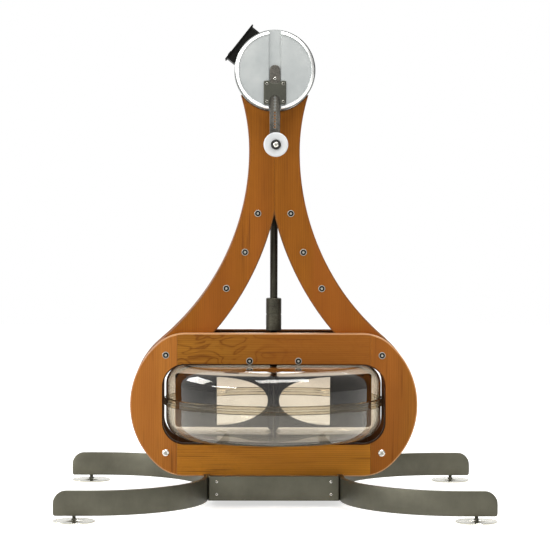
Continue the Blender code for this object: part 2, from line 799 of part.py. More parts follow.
def shell_profile(neck_radius, neck_top, bore):
    """Upper shell from its neck over the shoulder to the flange and back inside, closed."""
    corner_x = TANK_BODY_RADIUS - TANK_CORNER
    corner_z = TANK_HIGH - TANK_CORNER
    flange_low = TANK_SEAM + SEAL_THICKNESS / 2 + GAP
    flange_high = flange_low + TANK_FLANGE_THICKNESS
    quarter = math.pi / 2
    outer = arc((corner_x, corner_z), TANK_CORNER, quarter, 0.0, 6)
    inner = arc((corner_x, corner_z), TANK_CORNER - TANK_WALL, 0.0, quarter, 4)
    points = [(bore, neck_top), (neck_radius, neck_top), (neck_radius, TANK_HIGH)]
    points += outer
    points += [
        (TANK_BODY_RADIUS, flange_high),
        (TANK_FLANGE_RADIUS, flange_high),
        (TANK_FLANGE_RADIUS, flange_low),
        (TANK_BODY_RADIUS - TANK_WALL, flange_low),
    ]
    points += inner
    points.append((bore, TANK_HIGH - TANK_WALL))
    return points


def make_upper_shell(collection):
    profile = shell_profile(TANK_NECK_RADIUS, TANK_NECK_TOP, PADDLE_SHAFT_RADIUS + GAP)
    shell = turned("tank_upper_shell", profile, FINE, collection, closed=True)
    low = (FILL_HOLE_X, FILL_HOLE_Y, TANK_HIGH - 3 * TANK_WALL)
    high = (FILL_HOLE_X, FILL_HOLE_Y, TANK_HIGH + 3 * TANK_WALL)
    cut(shell, [cylinder("fill_hole", FILL_HOLE_RADIUS, low, high, COARSE, collection)])
    dress(shell, smoked_clear())


def make_lower_shell(collection):
    """The same shoulder upside down, with a boss inside that holds the paddle's pin."""
    pin_bore = PADDLE_PIN_RADIUS + GAP
    upper = shell_profile(TANK_NECK_RADIUS, TANK_HIGH, pin_bore)
    mirror = 2 * TANK_SEAM
    shoulder = [(radius, mirror - height) for radius, height in upper[3:-1]]
    boss_top = PIVOT_FLOOR + PIVOT_DEPTH
    floor = TANK_LOW + TANK_WALL
    profile = [
        (0.0, PIVOT_FLOOR),
        (pin_bore, PIVOT_FLOOR),
        (pin_bore, boss_top),
        (PIVOT_BOSS_RADIUS, boss_top),
        (PIVOT_BOSS_RADIUS, floor),
    ]
    profile += list(reversed(shoulder))
    profile.append((0.0, TANK_LOW))
    shell = turned("tank_lower_shell", profile, FINE, collection)
    dress(shell, smoked_clear())


def make_seal(collection):
    half = SEAL_THICKNESS / 2
    outer = TANK_FLANGE_RADIUS - GAP
    inner = TANK_BODY_RADIUS - TANK_WALL + GAP
    profile = [
        (inner, TANK_SEAM + half), (outer, TANK_SEAM + half),
        (outer, TANK_SEAM - half), (inner, TANK_SEAM - half),
    ]
    seal = turned("tank_seal", profile, FINE, collection, closed=True)
    dress(seal, black_rubber())


def make_fill_plug(collection):
    rim = FILL_HOLE_RADIUS + PLUG_RIM
    body = FILL_HOLE_RADIUS - GAP
    profile = [
        (0.0, PLUG_HEAD_HEIGHT),
        (rim - EDGE, PLUG_HEAD_HEIGHT),
        (rim, PLUG_HEAD_HEIGHT - EDGE),
        (rim, GAP),
        (body, GAP),
        (body, -PLUG_BODY_DEPTH),
        (0.0, -PLUG_BODY_DEPTH),
    ]
    plug = turned("tank_fill_plug", profile, COARSE, collection)
    plug.location = (FILL_HOLE_X, FILL_HOLE_Y, TANK_HIGH)
    dress(plug, black_rubber())


def make_cradle(collection):
    """Bent sheet under the tank: level top, two upright sides and feet on the tray."""
    top = TANK_LOW - GAP
    foot = TRAY_TOP + GAP
    half = CRADLE_HALF_LENGTH
    toe = half + CRADLE_FOOT
    right = [
        (toe, foot), (toe, foot + SHEET), (half, foot + SHEET), (half, top),
    ]
    inside = [(half - SHEET, foot), (half - SHEET, top - SHEET)]
    outline = right + mirrored(right) + [(-x, z) for x, z in inside] + list(reversed(inside))
    cradle = plate("tank_cradle", [outline], -PANEL_BACK_Y + GAP, PANEL_BACK_Y - GAP, collection)
    dress(cradle, steel_grey())


def make_bridge(collection):
    """Channel between the top rails with two studs through them; it carries the lower bush."""
    outer_y = PANEL_BACK_Y - GAP
    inner_y = outer_y - SHEET
    half = BRIDGE_HALF_LENGTH
    bridge = box("bearing_bridge", (-half, -outer_y, BRIDGE_LOW), (half, outer_y, BRIDGE_TOP), collection)
    hollow = box(
        "hollow", (-half * 2, -inner_y, BRIDGE_LOW - SHEET), (half * 2, inner_y, BRIDGE_TOP - SHEET), collection
    )
    cut(bridge, [hollow])
    bore = cylinder(
        "bore", BUSH_BODY_RADIUS + GAP, (0.0, 0.0, BRIDGE_TOP - 2 * SHEET),
        (0.0, 0.0, BRIDGE_TOP + SHEET), COARSE, collection,
    )
    cut(bridge, [bore])
    studs = []
    for side in (-1, 1):
        stud = turned("stud", both_ways(bolt_half(PANEL_FACE_Y)), SMALL, collection)
        place = Matrix.Translation((side * BRIDGE_STUD_X, 0.0, BRIDGE_STUD_Z))
        studs.append(move_mesh(stud, place @ Matrix.Rotation(math.radians(90.0), 4, "X")))
    join(bridge, studs)
    dress(bridge, steel_grey())


def make_lower_bush(collection):
    seat = BRIDGE_TOP + GAP
    bore = PADDLE_SHAFT_RADIUS + GAP
    profile = [
        (bore, seat + BUSH_FLANGE_HEIGHT), (BUSH_FLANGE_RADIUS, seat + BUSH_FLANGE_HEIGHT),
        (BUSH_FLANGE_RADIUS, seat), (BUSH_BODY_RADIUS, seat),
        (BUSH_BODY_RADIUS, BRIDGE_TOP - BUSH_DEPTH), (bore, BRIDGE_TOP - BUSH_DEPTH),
    ]
    bush = turned("lower_shaft_bush", profile, COARSE, collection, closed=True)
    dress(bush, dark_steel())


# Paddle, shaft and coupling, all turning about Z

def paddle_window(side):
    """Half an ellipse: straight edge outwards, its tip at the hub."""
    depth = PADDLE_WINDOW_OUTER - PADDLE_HUB_RADIUS
    points = []
    count = 11
    for index in range(count):
        angle = math.pi / 2 + math.pi * index / (count - 1)
        across = PADDLE_WINDOW_OUTER + depth * math.cos(angle)
        points.append((across, PADDLE_MID + PADDLE_WINDOW_HALF_HEIGHT * math.sin(angle)))
    return points if side == 1 else mirrored(points)


def paddle_blade(name, collection):
    outline = rounded_rectangle(
        (-PADDLE_HALF_LENGTH, PADDLE_MID - PADDLE_HALF_HEIGHT),
        (PADDLE_HALF_LENGTH, PADDLE_MID + PADDLE_HALF_HEIGHT),
        PADDLE_HUB_RADIUS, 3,
    )
    half = PADDLE_THICKNESS / 2
    return plate(name, [outline, paddle_window(1), paddle_window(-1)], -half, half, collection)


def make_paddle(collection):
    """Two crossed blades on a hub and an upright shaft with a pin at its foot."""
    blade = paddle_blade("paddle", collection)
    crossing = paddle_blade("crossing", collection)
    move_mesh(crossing, Matrix.Rotation(math.pi / 2, 4, "Z"))
    pin_low = PIVOT_FLOOR + GAP
    pin_high = PIVOT_FLOOR + PIVOT_DEPTH + GAP
    hub_low = PADDLE_MID - PADDLE_HALF_HEIGHT - GAP
    hub_high = PADDLE_MID + PADDLE_HALF_HEIGHT + GAP
    top = SHAFT_MEETING_Z - GAP
    profile = [
        (0.0, top), (PADDLE_SHAFT_RADIUS, top), (PADDLE_SHAFT_RADIUS, hub_high),
        (PADDLE_HUB_RADIUS, hub_high), (PADDLE_HUB_RADIUS, hub_low),
        (PADDLE_PIN_RADIUS * 1.5, pin_high), (PADDLE_PIN_RADIUS, pin_high),
        (PADDLE_PIN_RADIUS, pin_low), (0.0, pin_low),
    ]
    shaft = turned("shaft", profile, COARSE, collection)
    join(blade, [crossing, shaft])
    dress(blade, dark_plastic())


def make_drive_shaft(collection):
    shoulder = AXIS_Z - pinion_back_distance() - GAP
    top = AXIS_Z - cone_distance() * math.cos(cone_angle(PINION_TEETH, GEAR_TEETH)) * small_end_share()
    low = SHAFT_MEETING_Z
    profile = [
        (0.0, top), (SHAFT_STUB_RADIUS, top), (SHAFT_STUB_RADIUS, shoulder),
        (DRIVE_SHAFT_RADIUS, shoulder), (DRIVE_SHAFT_RADIUS, low), (0.0, low),
    ]
    shaft = turned("drive_shaft", profile, COARSE, collection)
    dress(shaft, dark_steel())


def make_sleeve(collection):
    """Coupling sleeve with a wide bore for the drive shaft and a narrow one for the paddle."""
    high = SLEEVE_LOW + SLEEVE_HEIGHT
    edge = EDGE
    wide = DRIVE_SHAFT_RADIUS + GAP
    narrow = PADDLE_SHAFT_RADIUS + GAP
    profile = [
        (wide, high), (SLEEVE_RADIUS - edge, high), (SLEEVE_RADIUS, high - edge),
        (SLEEVE_RADIUS, SLEEVE_LOW + edge), (SLEEVE_RADIUS - edge, SLEEVE_LOW),
        (narrow, SLEEVE_LOW), (narrow, SHAFT_MEETING_Z - 2 * GAP), (wide, SHAFT_MEETING_Z - 2 * GAP),
    ]
    sleeve = turned("coupling_sleeve", profile, COARSE, collection, closed=True)
    dress(sleeve, dark_steel())


def make_neck_block(collection):
    """Block between the tower boards that holds the upper end of the drive shaft."""
    half_y = TOWER_BACK_Y - GAP
    block = box(
        "neck_block", (-NECK_HALF_WIDTH, -half_y, NECK_LOW),
        (NECK_HALF_WIDTH, half_y, DRUM_LOW - NECK_BELOW_DRUM), collection,
    )
    bore = cylinder(
        "bore", DRIVE_SHAFT_RADIUS + GAP, (0.0, 0.0, NECK_LOW - DRUM_WALL),
        (0.0, 0.0, DRUM_LOW + DRUM_WALL), COARSE, collection,
    )
    cut(block, [bore])
    dress(block, aluminium())


# Bevel gears: both share one apex, where the crank axis meets the shaft axis

def cone_distance():
    return MODULE / 2 * math.hypot(GEAR_TEETH, PINION_TEETH)


def cone_angle(teeth, other_teeth):
    return math.atan2(teeth, other_teeth)


def small_end_share():
    """Size of the inner tooth ends as a share of the outer ones."""
    return (cone_distance() - FACE_WIDTH) / cone_distance()


def pinion_back_distance():
    """Distance of the pinion's back face from the apex."""
    angle = cone_angle(PINION_TEETH, GEAR_TEETH)
    root = cone_distance() * math.cos(angle) + DEDENDUM * MODULE * math.sin(angle)
    return root + GEAR_BACK


def cone_point(angle, height):
    """Radius and distance from the apex of a point on the outer end, at a height on the tooth."""
    radius = cone_distance() * math.sin(angle) + height * math.cos(angle)
    along = cone_distance() * math.cos(angle) - height * math.sin(angle)
    return radius, along


def half_tooth(teeth, angle, height):
    """Half the tooth's angle about the gear's axis, from an involute on the back cone."""
    pitch_radius = MODULE * teeth / 2
    back_radius = pitch_radius / math.cos(angle)
    base_radius = back_radius * math.cos(PRESSURE_ANGLE)
    reach = max(back_radius + height, base_radius)
    pressure = math.acos(base_radius / reach)
    thickness = (math.pi * MODULE / 2 - BACKLASH) / (2 * back_radius)
    opening = thickness + math.tan(PRESSURE_ANGLE) - PRESSURE_ANGLE - math.tan(pressure) + pressure
    return opening * (back_radius + height) / (pitch_radius + height * math.cos(angle))


def tooth_ring(teeth, angle, heights, turn, share):
    """Points up one flank and down the other at a share of the outer end's size."""
    ring = []
    for side in (-1, 1):
        order = heights if side == -1 else list(reversed(heights))
        for height in order:
            radius, along = cone_point(angle, height)
            around = turn + side * half_tooth(teeth, angle, height)
            ring.append((
                share * radius * math.cos(around), share * radius * math.sin(around), share * along
            ))
    return ring


def gear_teeth(name, teeth, angle, heights, first, collection):
    """All teeth as tapered prisms that run towards the apex."""
    shape = bmesh.new()
    for index in range(teeth):
        turn = first + 2 * math.pi * index / teeth
        outer = [shape.verts.new(point) for point in tooth_ring(teeth, angle, heights, turn, 1.0)]
        inner = [
            shape.verts.new(point) for point in tooth_ring(teeth, angle, heights, turn, small_end_share())
        ]
        count = len(outer)
        shape.faces.new(outer)
        shape.faces.new(list(reversed(inner)))
        for corner in range(count):
            after = (corner + 1) % count
            shape.faces.new((outer[after], outer[corner], inner[corner], inner[after]))
    bmesh.ops.recalc_face_normals(shape, faces=shape.faces)
    mesh = bpy.data.meshes.new(name)
    shape.to_mesh(mesh)
    shape.free()
    return make_object(name, mesh, collection)


def bevel_gear(name, teeth, other_teeth, bore, heights, first, recess, sides, collection):
    """Bevel gear about local Z with its apex at the origin and its back away from it."""
    angle = cone_angle(teeth, other_teeth)
    root_radius, root_along = cone_point(angle, -DEDENDUM * MODULE)
    outer_share = 1.0 + GEAR_LIP / cone_distance()
    inner_share = small_end_share() - GEAR_LIP / cone_distance()
    back = root_along + GEAR_BACK
    front_radius = root_radius * inner_share
    front = root_along * inner_share
    profile = [
        (bore, back), (root_radius * outer_share, back),
        (root_radius * outer_share, root_along * outer_share),
        (front_radius, front), (front_radius - recess, front),
        (front_radius - recess, front + recess), (bore, front + recess),
    ]
    body = turned(name, profile, sides, collection, closed=True)
    sunk = [-DEDENDUM * MODULE * 1.25] + heights
    teeth_object = gear_teeth("teeth", teeth, angle, sunk, first, collection)
    return join(body, [teeth_object])


def make_crank_gear(collection):
    """Large gear on the crank axle, with a gap between teeth where the pinion stands."""
    tooth_heights = [-0.3 * MODULE, ADDENDUM * MODULE]
    first = math.pi / 2 + math.pi / GEAR_TEETH
    gear = bevel_gear(
        "crank_bevel_gear", GEAR_TEETH, PINION_TEETH, AXLE_RADIUS + GAP, tooth_heights, first,
        GEAR_HUB_RECESS, GEAR_TEETH, collection,
    )
    gear.rotation_euler = (math.radians(-90.0), 0.0, 0.0)
    gear.location = (0.0, 0.0, AXIS_Z)
    dress(gear, bright_steel())


def make_pinion(collection):
    """Small gear on the drive shaft, one tooth towards the large gear."""
    tooth_heights = [-0.5 * MODULE, 0.1 * MODULE, ADDENDUM * MODULE]
    first = -math.pi / 2
    pinion = bevel_gear(
        "shaft_bevel_pinion", PINION_TEETH, GEAR_TEETH, SHAFT_STUB_RADIUS + GAP, tooth_heights, first,
        GEAR_HUB_RECESS, PINION_TEETH, collection,
    )
    pinion.rotation_euler = (math.pi, 0.0, 0.0)
    pinion.location = (0.0, 0.0, AXIS_Z)
    dress(pinion, bright_steel())


# Drum

def along_y(item):
    """Turn a body made about Z so that its top faces the front, at the crank axis."""
    item.rotation_euler = (math.radians(90.0), 0.0, 0.0)
    item.location = (0.0, 0.0, AXIS_Z)
    return item


def make_drum_shell(collection):
    """Cup open to the front: round wall, rear wall with the axle bore, hole for the shaft."""
    inner = DRUM_RADIUS - DRUM_WALL
    bore = AXLE_RADIUS + GAP
    half = DRUM_HALF_DEPTH
    profile = [
        (inner, half), (DRUM_RADIUS, half), (DRUM_RADIUS, -half),
        (bore, -half), (bore, END_WALL - half), (inner, END_WALL - half),
    ]
    shell = turned("drum_shell", profile, FINE, collection, closed=True)
    hole = cylinder(
        "hole", DRUM_SHAFT_HOLE, (0.0, -DRUM_RADIUS - DRUM_WALL, 0.0),
        (0.0, -DRUM_RADIUS + 2 * DRUM_WALL, 0.0), COARSE, collection,
    )
    cut(shell, [hole])
    along_y(shell)
    dress(shell, aluminium())


def make_drum_end_plate(collection):
    outer = DRUM_RADIUS - DRUM_WALL - GAP
    bore = AXLE_RADIUS + GAP
    face = DRUM_HALF_DEPTH
    profile = [(bore, face), (outer, face), (outer, face - END_WALL), (bore, face - END_WALL)]
    plate_object = turned("drum_front_bearing_plate", profile, FINE, collection, closed=True)
    along_y(plate_object)
    dress(plate_object, aluminium())


def make_axle(collection):
    end = CHANNEL_FLOOR - GAP
    profile = [(0.0, end), (AXLE_RADIUS, end), (AXLE_RADIUS, -end), (0.0, -end)]
    axle = along_y(turned("crank_axle", profile, COARSE, collection))
    dress(axle, bright_steel())


def make_discs(collection):
    """Crank discs with a raised rim and a channel right across the face for the arm."""
    face_radius = DRUM_RADIUS - DISC_RIM_WIDTH
    bore = AXLE_RADIUS + GAP
    profile = [
        (bore, DISC_FACE), (face_radius - DISC_EDGE, DISC_FACE), (face_radius, DISC_RIM_FACE),
        (DRUM_RADIUS - DISC_EDGE, DISC_RIM_FACE), (DRUM_RADIUS, DISC_RIM_FACE - DISC_EDGE),
        (DRUM_RADIUS, DISC_BACK), (bore, DISC_BACK),
    ]
    disc = turned("crank_disc_front", profile, FINE, collection, closed=True)
    half = CHANNEL_WIDTH / 2
    channel = box(
        "channel", (-half, -2 * DRUM_RADIUS, CHANNEL_FLOOR), (half, 2 * DRUM_RADIUS, 2 * DISC_RIM_FACE),
        collection,
    )
    cut(disc, [channel])
    move_mesh(disc, Matrix.Rotation(math.radians(90.0), 4, "X"))
    disc.location = (0.0, 0.0, AXIS_Z)
    dress(disc, aluminium())
    half_turn_copy(disc, "crank_disc_rear", collection)


# Crank arms, clamps and grips

def arm_outline():
    half = ARM_WIDTH / 2
    top = arc((0.0, AXIS_Z), half, 0.0, math.pi, 8)
    low = arc((0.0, HANDLE_Z), half, math.pi, 2 * math.pi, 8)
    return top + low


def arm_holes():
    holes = []
    for index in range(HOLE_COUNT):
        up = AXIS_Z - FIRST_HOLE_BELOW_AXIS - index * HOLE_PITCH
        holes.append(arc((0.0, up), HOLE_RADIUS, 0.0, 2 * math.pi, TINY + 1)[:-1])
    return holes


def spindle(collection):
    """Round spindle for the grip, with a boss at the arm and a ring and bolt at its end."""
    ring_low = GRIP_END + GAP
    ring_high = ring_low + END_RING_HEIGHT
    crown = ring_high + END_BOLT_HEIGHT
    boss_top = GRIP_START - GAP
    root = ARM_FACE - ARM_THICKNESS / 2
    profile = [
        (0.0, crown), (END_BOLT_RADIUS * 0.8, crown), (END_BOLT_RADIUS, crown - END_BOLT_HEIGHT / 3),
        (END_BOLT_RADIUS, ring_high), (END_RING_RADIUS, ring_high), (END_RING_RADIUS, ring_low),
        (SPINDLE_RADIUS, ring_low), (SPINDLE_RADIUS, boss_top), (SPINDLE_BOSS_RADIUS, boss_top),
        (SPINDLE_BOSS_RADIUS, root), (0.0, root),
    ]
    body = turned("spindle", profile, COARSE, collection)
    place = Matrix.Translation((0.0, 0.0, HANDLE_Z)) @ Matrix.Rotation(math.radians(90.0), 4, "X")
    return move_mesh(body, place)


def make_arms(collection):
    """Flat arm with a row of index holes, a stop screw and the grip's spindle."""
    arm = plate("crank_arm_front", [arm_outline()] + arm_holes(), ARM_BACK, ARM_FACE, collection)
    up = AXIS_Z - STOP_SCREW_BELOW_AXIS
    screw_root = (0.0, -ARM_BACK - ARM_THICKNESS / 2, up)
    screw_top = (0.0, -ARM_FACE - STOP_SCREW_HEIGHT, up)
    screw = cylinder("screw", STOP_SCREW_RADIUS, screw_root, screw_top, SMALL, collection)
    join(arm, [screw, spindle(collection)])
    set_origin(arm, (0.0, 0.0, AXIS_Z))
    dress(arm, dark_steel())
    half_turn_copy(arm, "crank_arm_rear", collection)


def clamp_outline():
    """Square block with rounded corners, a shallow notch above and a deep one below."""
    half = CLAMP_WIDTH / 2
    middle = AXIS_Z - CLAMP_CENTRE_BELOW_AXIS
    top = middle + CLAMP_HEIGHT / 2
    low = middle - CLAMP_HEIGHT / 2
    quarter = math.pi / 2
    corner = CLAMP_CORNER
    notch_half = CLAMP_LOW_NOTCH_WIDTH / 2
    notch_centre = low + CLAMP_LOW_NOTCH_DEPTH - notch_half
    rise = CLAMP_TOP_NOTCH_RADIUS - CLAMP_TOP_NOTCH_DEPTH
    spread = math.acos(rise / CLAMP_TOP_NOTCH_RADIUS)
    centre = (0.0, top + rise)
    right = arc((half - corner, low + corner), corner, -quarter, 0.0, 3)
    right += arc((half - corner, top - corner), corner, 0.0, quarter, 3)
    dip = arc(centre, CLAMP_TOP_NOTCH_RADIUS, -quarter + spread, -quarter - spread, 5)
    slot = arc((0.0, notch_centre), notch_half, math.pi, 0.0, 7)
    return right + dip + mirrored(right) + [(-notch_half, low)] + slot + [(notch_half, low)]


def make_clamps(collection):
    back = ARM_FACE + GAP
    clamp = plate("arm_clamp_front", [clamp_outline()], back, back + CLAMP_THICKNESS, collection)
    middle = AXIS_Z - CLAMP_CENTRE_BELOW_AXIS
    offset_x = CLAMP_WIDTH / 2 - CLAMP_SCREW_INSET
    offset_z = CLAMP_HEIGHT / 2 - CLAMP_SCREW_INSET
    face = back + CLAMP_THICKNESS
    screws = []
    for side_x in (-1, 1):
        for side_z in (-1, 1):
            across = side_x * offset_x
            up = middle + side_z * offset_z
            root = (across, -back - CLAMP_THICKNESS / 3, up)
            crown = (across, -face - CLAMP_SCREW_HEIGHT, up)
            screws.append(cylinder("screw", CLAMP_SCREW_RADIUS, root, crown, SMALL, collection))
    join(clamp, screws)
    set_origin(clamp, (0.0, 0.0, AXIS_Z))
    dress(clamp, dark_steel())
    half_turn_copy(clamp, "arm_clamp_rear", collection)


def grip_profile():
    """Hand grip flared at both ends, as radius and distance from the middle plane."""
    bore = SPINDLE_RADIUS + GAP
    start = GRIP_START
    end = GRIP_END
    points = [
        (bore, end), (GRIP_END_RADIUS - GRIP_EDGE, end), (GRIP_END_RADIUS, end - GRIP_EDGE),
        (GRIP_END_RADIUS, end - 2 * GRIP_EDGE),
    ]
    steps = 4
    for index in range(1, steps + 1):
        share = index / steps
        ease = (1.0 + math.cos(math.pi * share)) / 2
        radius = GRIP_BODY_RADIUS + (GRIP_END_RADIUS - GRIP_BODY_RADIUS) * ease
        points.append((radius, end - 2 * GRIP_EDGE - GRIP_FLARE * share))
    for index in range(steps):
        share = 1.0 - index / steps
        ease = (1.0 + math.cos(math.pi * share)) / 2
        radius = GRIP_BODY_RADIUS + (GRIP_INNER_RADIUS - GRIP_BODY_RADIUS) * ease
        points.append((radius, start + GRIP_EDGE + GRIP_FLARE * share))
    points += [(GRIP_INNER_RADIUS, start + GRIP_EDGE / 2), (GRIP_INNER_RADIUS - GRIP_EDGE / 2, start)]
    points.append((bore, start))
    return points


def make_grips(collection):
    grip = turned("grip_front", grip_profile(), COARSE, collection, closed=True)
    move_mesh(grip, Matrix.Rotation(math.radians(90.0), 4, "X"))
    grip.location = (0.0, 0.0, HANDLE_Z)
    dress(grip, white_plastic())
    half_turn_copy(grip, "grip_rear", collection)


# Monitor, made level about the drum's axis and then tilted towards the user

def tilt_monitor(item):
    item.rotation_euler = (0.0, -MONITOR_TILT, 0.0)
    item.location = (0.0, 0.0, AXIS_Z)
    return item


def button_middle(index):
    return (index - (BUTTON_COUNT - 1) / 2) * BUTTON_PITCH


def make_monitor_housing(collection):
    """Housing with a thin bezel plate, seated round the drum, with pockets in its face."""
    half_x = MONITOR_LENGTH / 2
    half_y = MONITOR_WIDTH / 2
    rim_x = half_x + BEZEL_OVERHANG
    rim_y = half_y + BEZEL_OVERHANG
    housing = box(
        "monitor_housing", (-half_x, -half_y, MONITOR_SEAT),
        (half_x, half_y, MONITOR_FACE - BEZEL_THICKNESS / 2), collection,
    )
    bezel = box("bezel", (-rim_x, -rim_y, MONITOR_BACK_FACE), (rim_x, rim_y, MONITOR_FACE), collection)
    join(housing, [bezel])
    cutters = [cylinder(
        "drum", DRUM_RADIUS + 2 * GAP, (0.0, -rim_y * 2, 0.0), (0.0, rim_y * 2, 0.0), FINE, collection
    )]
    recess = SCREEN_THICKNESS + GAP
    cutters.append(box(
        "screen_recess",
        (SCREEN_SHIFT - SCREEN_LENGTH / 2 - GAP, -SCREEN_WIDTH / 2 - GAP, MONITOR_FACE - recess),
        (SCREEN_SHIFT + SCREEN_LENGTH / 2 + GAP, SCREEN_WIDTH / 2 + GAP, MONITOR_FACE + recess),
        collection,
    ))
    pocket_floor = MONITOR_FACE - BUTTON_DEPTH - BUTTON_TRAVEL - GAP
    for index in range(BUTTON_COUNT):
        middle = button_middle(index)
        cutters.append(box(
            "pocket",
            (BUTTON_SHIFT - BUTTON_LENGTH / 2 - SLIDE_GAP, middle - BUTTON_WIDTH / 2 - SLIDE_GAP, pocket_floor),
            (BUTTON_SHIFT + BUTTON_LENGTH / 2 + SLIDE_GAP, middle + BUTTON_WIDTH / 2 + SLIDE_GAP,
             MONITOR_FACE + BUTTON_DEPTH),
            collection,
        ))
    cut(housing, cutters)
    tilt_monitor(housing)
    dress(housing, dark_plastic())


def make_monitor_screen(collection):
    screen = box(
        "monitor_screen",
        (SCREEN_SHIFT - SCREEN_LENGTH / 2, -SCREEN_WIDTH / 2, MONITOR_FACE - SCREEN_THICKNESS),
        (SCREEN_SHIFT + SCREEN_LENGTH / 2, SCREEN_WIDTH / 2, MONITOR_FACE),
        collection,
    )
    tilt_monitor(screen)
    dress(screen, screen_glass())


def make_monitor_buttons(collection):
    for index in range(BUTTON_COUNT):
        middle = button_middle(index)
        low = (BUTTON_SHIFT - BUTTON_LENGTH / 2, middle - BUTTON_WIDTH / 2, MONITOR_FACE - BUTTON_DEPTH)
        high = (BUTTON_SHIFT + BUTTON_LENGTH / 2, middle + BUTTON_WIDTH / 2, MONITOR_FACE + BUTTON_PROUD)
        button = box("monitor_button_{}".format(index + 1), low, high, collection)
        tilt_monitor(button)
        dress(button, black_rubber())


# Empties on the moving axes, with the pieces that move about them as children

def add_axis(name, place, collection, parent=None):
    axis = bpy.data.objects.new(name, None)
    axis.empty_display_size = 0.05
    collection.objects.link(axis)
    if parent is not None:
        axis.parent = parent
        place = Vector(place) - parent.location
    axis.location = place
    return axis


def hang(axis, names):
    """Parent pieces to an axis and keep them where they are."""
    bpy.context.view_layer.update()
    for name in names:
        piece = bpy.data.objects[name]
        piece.parent = axis
        piece.matrix_parent_inverse = axis.matrix_world.inverted()


def link_moving_pieces(collection):
    crank = add_axis("crank_axis", (0.0, 0.0, AXIS_Z), collection)
    hang(crank, [
        "crank_axle", "crank_bevel_gear", "crank_disc_front", "crank_disc_rear",
        "arm_clamp_front", "arm_clamp_rear",
    ])
    rotor = add_axis("rotor_axis", (0.0, 0.0, 0.0), collection)
    hang(rotor, ["drive_shaft", "shaft_bevel_pinion", "coupling_sleeve", "paddle"])
    for side, direction in (("front", -1), ("rear", 1)):
        place = (0.0, direction * ARM_FACE, HANDLE_Z)
        arm_axis = add_axis("arm_axis_" + side, place, collection, crank)
        hang(arm_axis, ["crank_arm_" + side, "grip_" + side])


def build():
    clear_scene()
    collection = bpy.data.collections.new("upper_body_ergometer")
    bpy.context.scene.collection.children.link(collection)
    makers = [
        make_feet, make_strips, make_cross_plates, make_tray,
        make_panels, make_tower, make_ties,
        make_lower_shell, make_upper_shell, make_seal, make_fill_plug, make_cradle,
        make_bridge, make_lower_bush,
        make_paddle, make_drive_shaft, make_sleeve, make_neck_block,
        make_crank_gear, make_pinion,
        make_drum_shell, make_drum_end_plate, make_axle, make_discs,
        make_arms, make_clamps, make_grips,
        make_monitor_housing, make_monitor_screen, make_monitor_buttons,
    ]
    for make in makers:
        make(collection)
    link_moving_pieces(collection)


build()
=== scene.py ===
"""Looks of the upper body ergometer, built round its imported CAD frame.

Units are metres and +Z is up. The front panel faces -Y and the user stands on the -X side.
The rear half of the machine is the front half turned by half a turn about Z, so most pieces
are worked out once for the front and placed twice.
"""

import logging
import math
from dataclasses import dataclass
from enum import Enum
from functools import partial
from typing import Any, Callable, Sequence

import bmesh
import bpy
import numpy as np
from mathutils import Matrix, Vector
from mathutils.geometry import tessellate_polygon


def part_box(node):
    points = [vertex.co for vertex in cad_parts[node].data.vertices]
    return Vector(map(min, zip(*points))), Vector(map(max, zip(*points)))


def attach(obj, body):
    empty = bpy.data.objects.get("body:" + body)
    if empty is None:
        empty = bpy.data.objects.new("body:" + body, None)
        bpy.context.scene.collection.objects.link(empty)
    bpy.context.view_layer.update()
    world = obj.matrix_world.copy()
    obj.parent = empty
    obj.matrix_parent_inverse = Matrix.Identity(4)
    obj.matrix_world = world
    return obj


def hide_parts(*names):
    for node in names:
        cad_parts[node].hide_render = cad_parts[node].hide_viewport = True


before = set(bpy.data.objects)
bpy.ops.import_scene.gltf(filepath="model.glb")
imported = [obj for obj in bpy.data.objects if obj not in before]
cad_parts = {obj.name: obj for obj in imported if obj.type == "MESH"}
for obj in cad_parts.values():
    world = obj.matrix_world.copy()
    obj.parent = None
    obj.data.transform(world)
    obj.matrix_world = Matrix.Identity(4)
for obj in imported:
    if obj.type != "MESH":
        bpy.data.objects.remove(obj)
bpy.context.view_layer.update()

Profile = list[tuple[float, float]]
Place = Callable[[np.ndarray], np.ndarray]
Colour = tuple[float, float, float, float]
Socket = bpy.types.NodeSocket
Adder = Callable[..., Socket]    # add_node with its tree given

LOG = logging.getLogger("ergometer")
QUARTER = math.pi / 2
WELD = 1e-6                      # points closer than this are one point
FAR = 2.0                        # farther out than any point of the machine
STRAIGHT = 1e-3                  # sine of a corner's turn that counts as none
AXIS_Z = 1.0305                  # height of the crank's axis


# Colours and nodes

def linear(code: str) -> Colour:
    """Turn an sRGB hex colour into linear values, by the curve of the sRGB standard.

    Args:
        code: colour as "#RRGGBB".

    Returns:
        Linear red, green, blue and an alpha of one.
    """
    shares = np.array([int(code[start:start + 2], 16) for start in (1, 3, 5)]) / 255.0
    bright = ((shares + 0.055) / 1.055) ** 2.4
    values = np.where(shares <= 0.04045, shares / 12.92, bright)
    return (float(values[0]), float(values[1]), float(values[2]), 1.0)


def add_node(tree: bpy.types.NodeTree, kind: str, output: str = "", *values: Any,
             **named: Any) -> Socket | None:
    """Add a node with its settings and links.

    Args:
        tree: node tree that takes the node.
        kind: the node's type name without "ShaderNode".
        output: name of the output that is wanted, if any.
        values: values, or output sockets to link, of the first inputs in order.
        named: the same for an input by its name, with _ for a space; a name without a capital
            is an attribute of the node, and "stops" are a ramp's places and hex colours.

    Returns:
        The output's socket.
    """
    node = tree.nodes.new("ShaderNode" + kind)
    inputs = dict(enumerate(values))
    for name, value in named.items():
        if name == "stops":
            fill_ramp(node.color_ramp, value)
        elif name[0].isupper():
            inputs[name.replace("_", " ")] = value
        else:
            setattr(node, name, value)
    for key, value in inputs.items():
        if isinstance(value, Socket):
            tree.links.new(value, node.inputs[key])
        else:
            node.inputs[key].default_value = value
    return node.outputs[output] if output else None


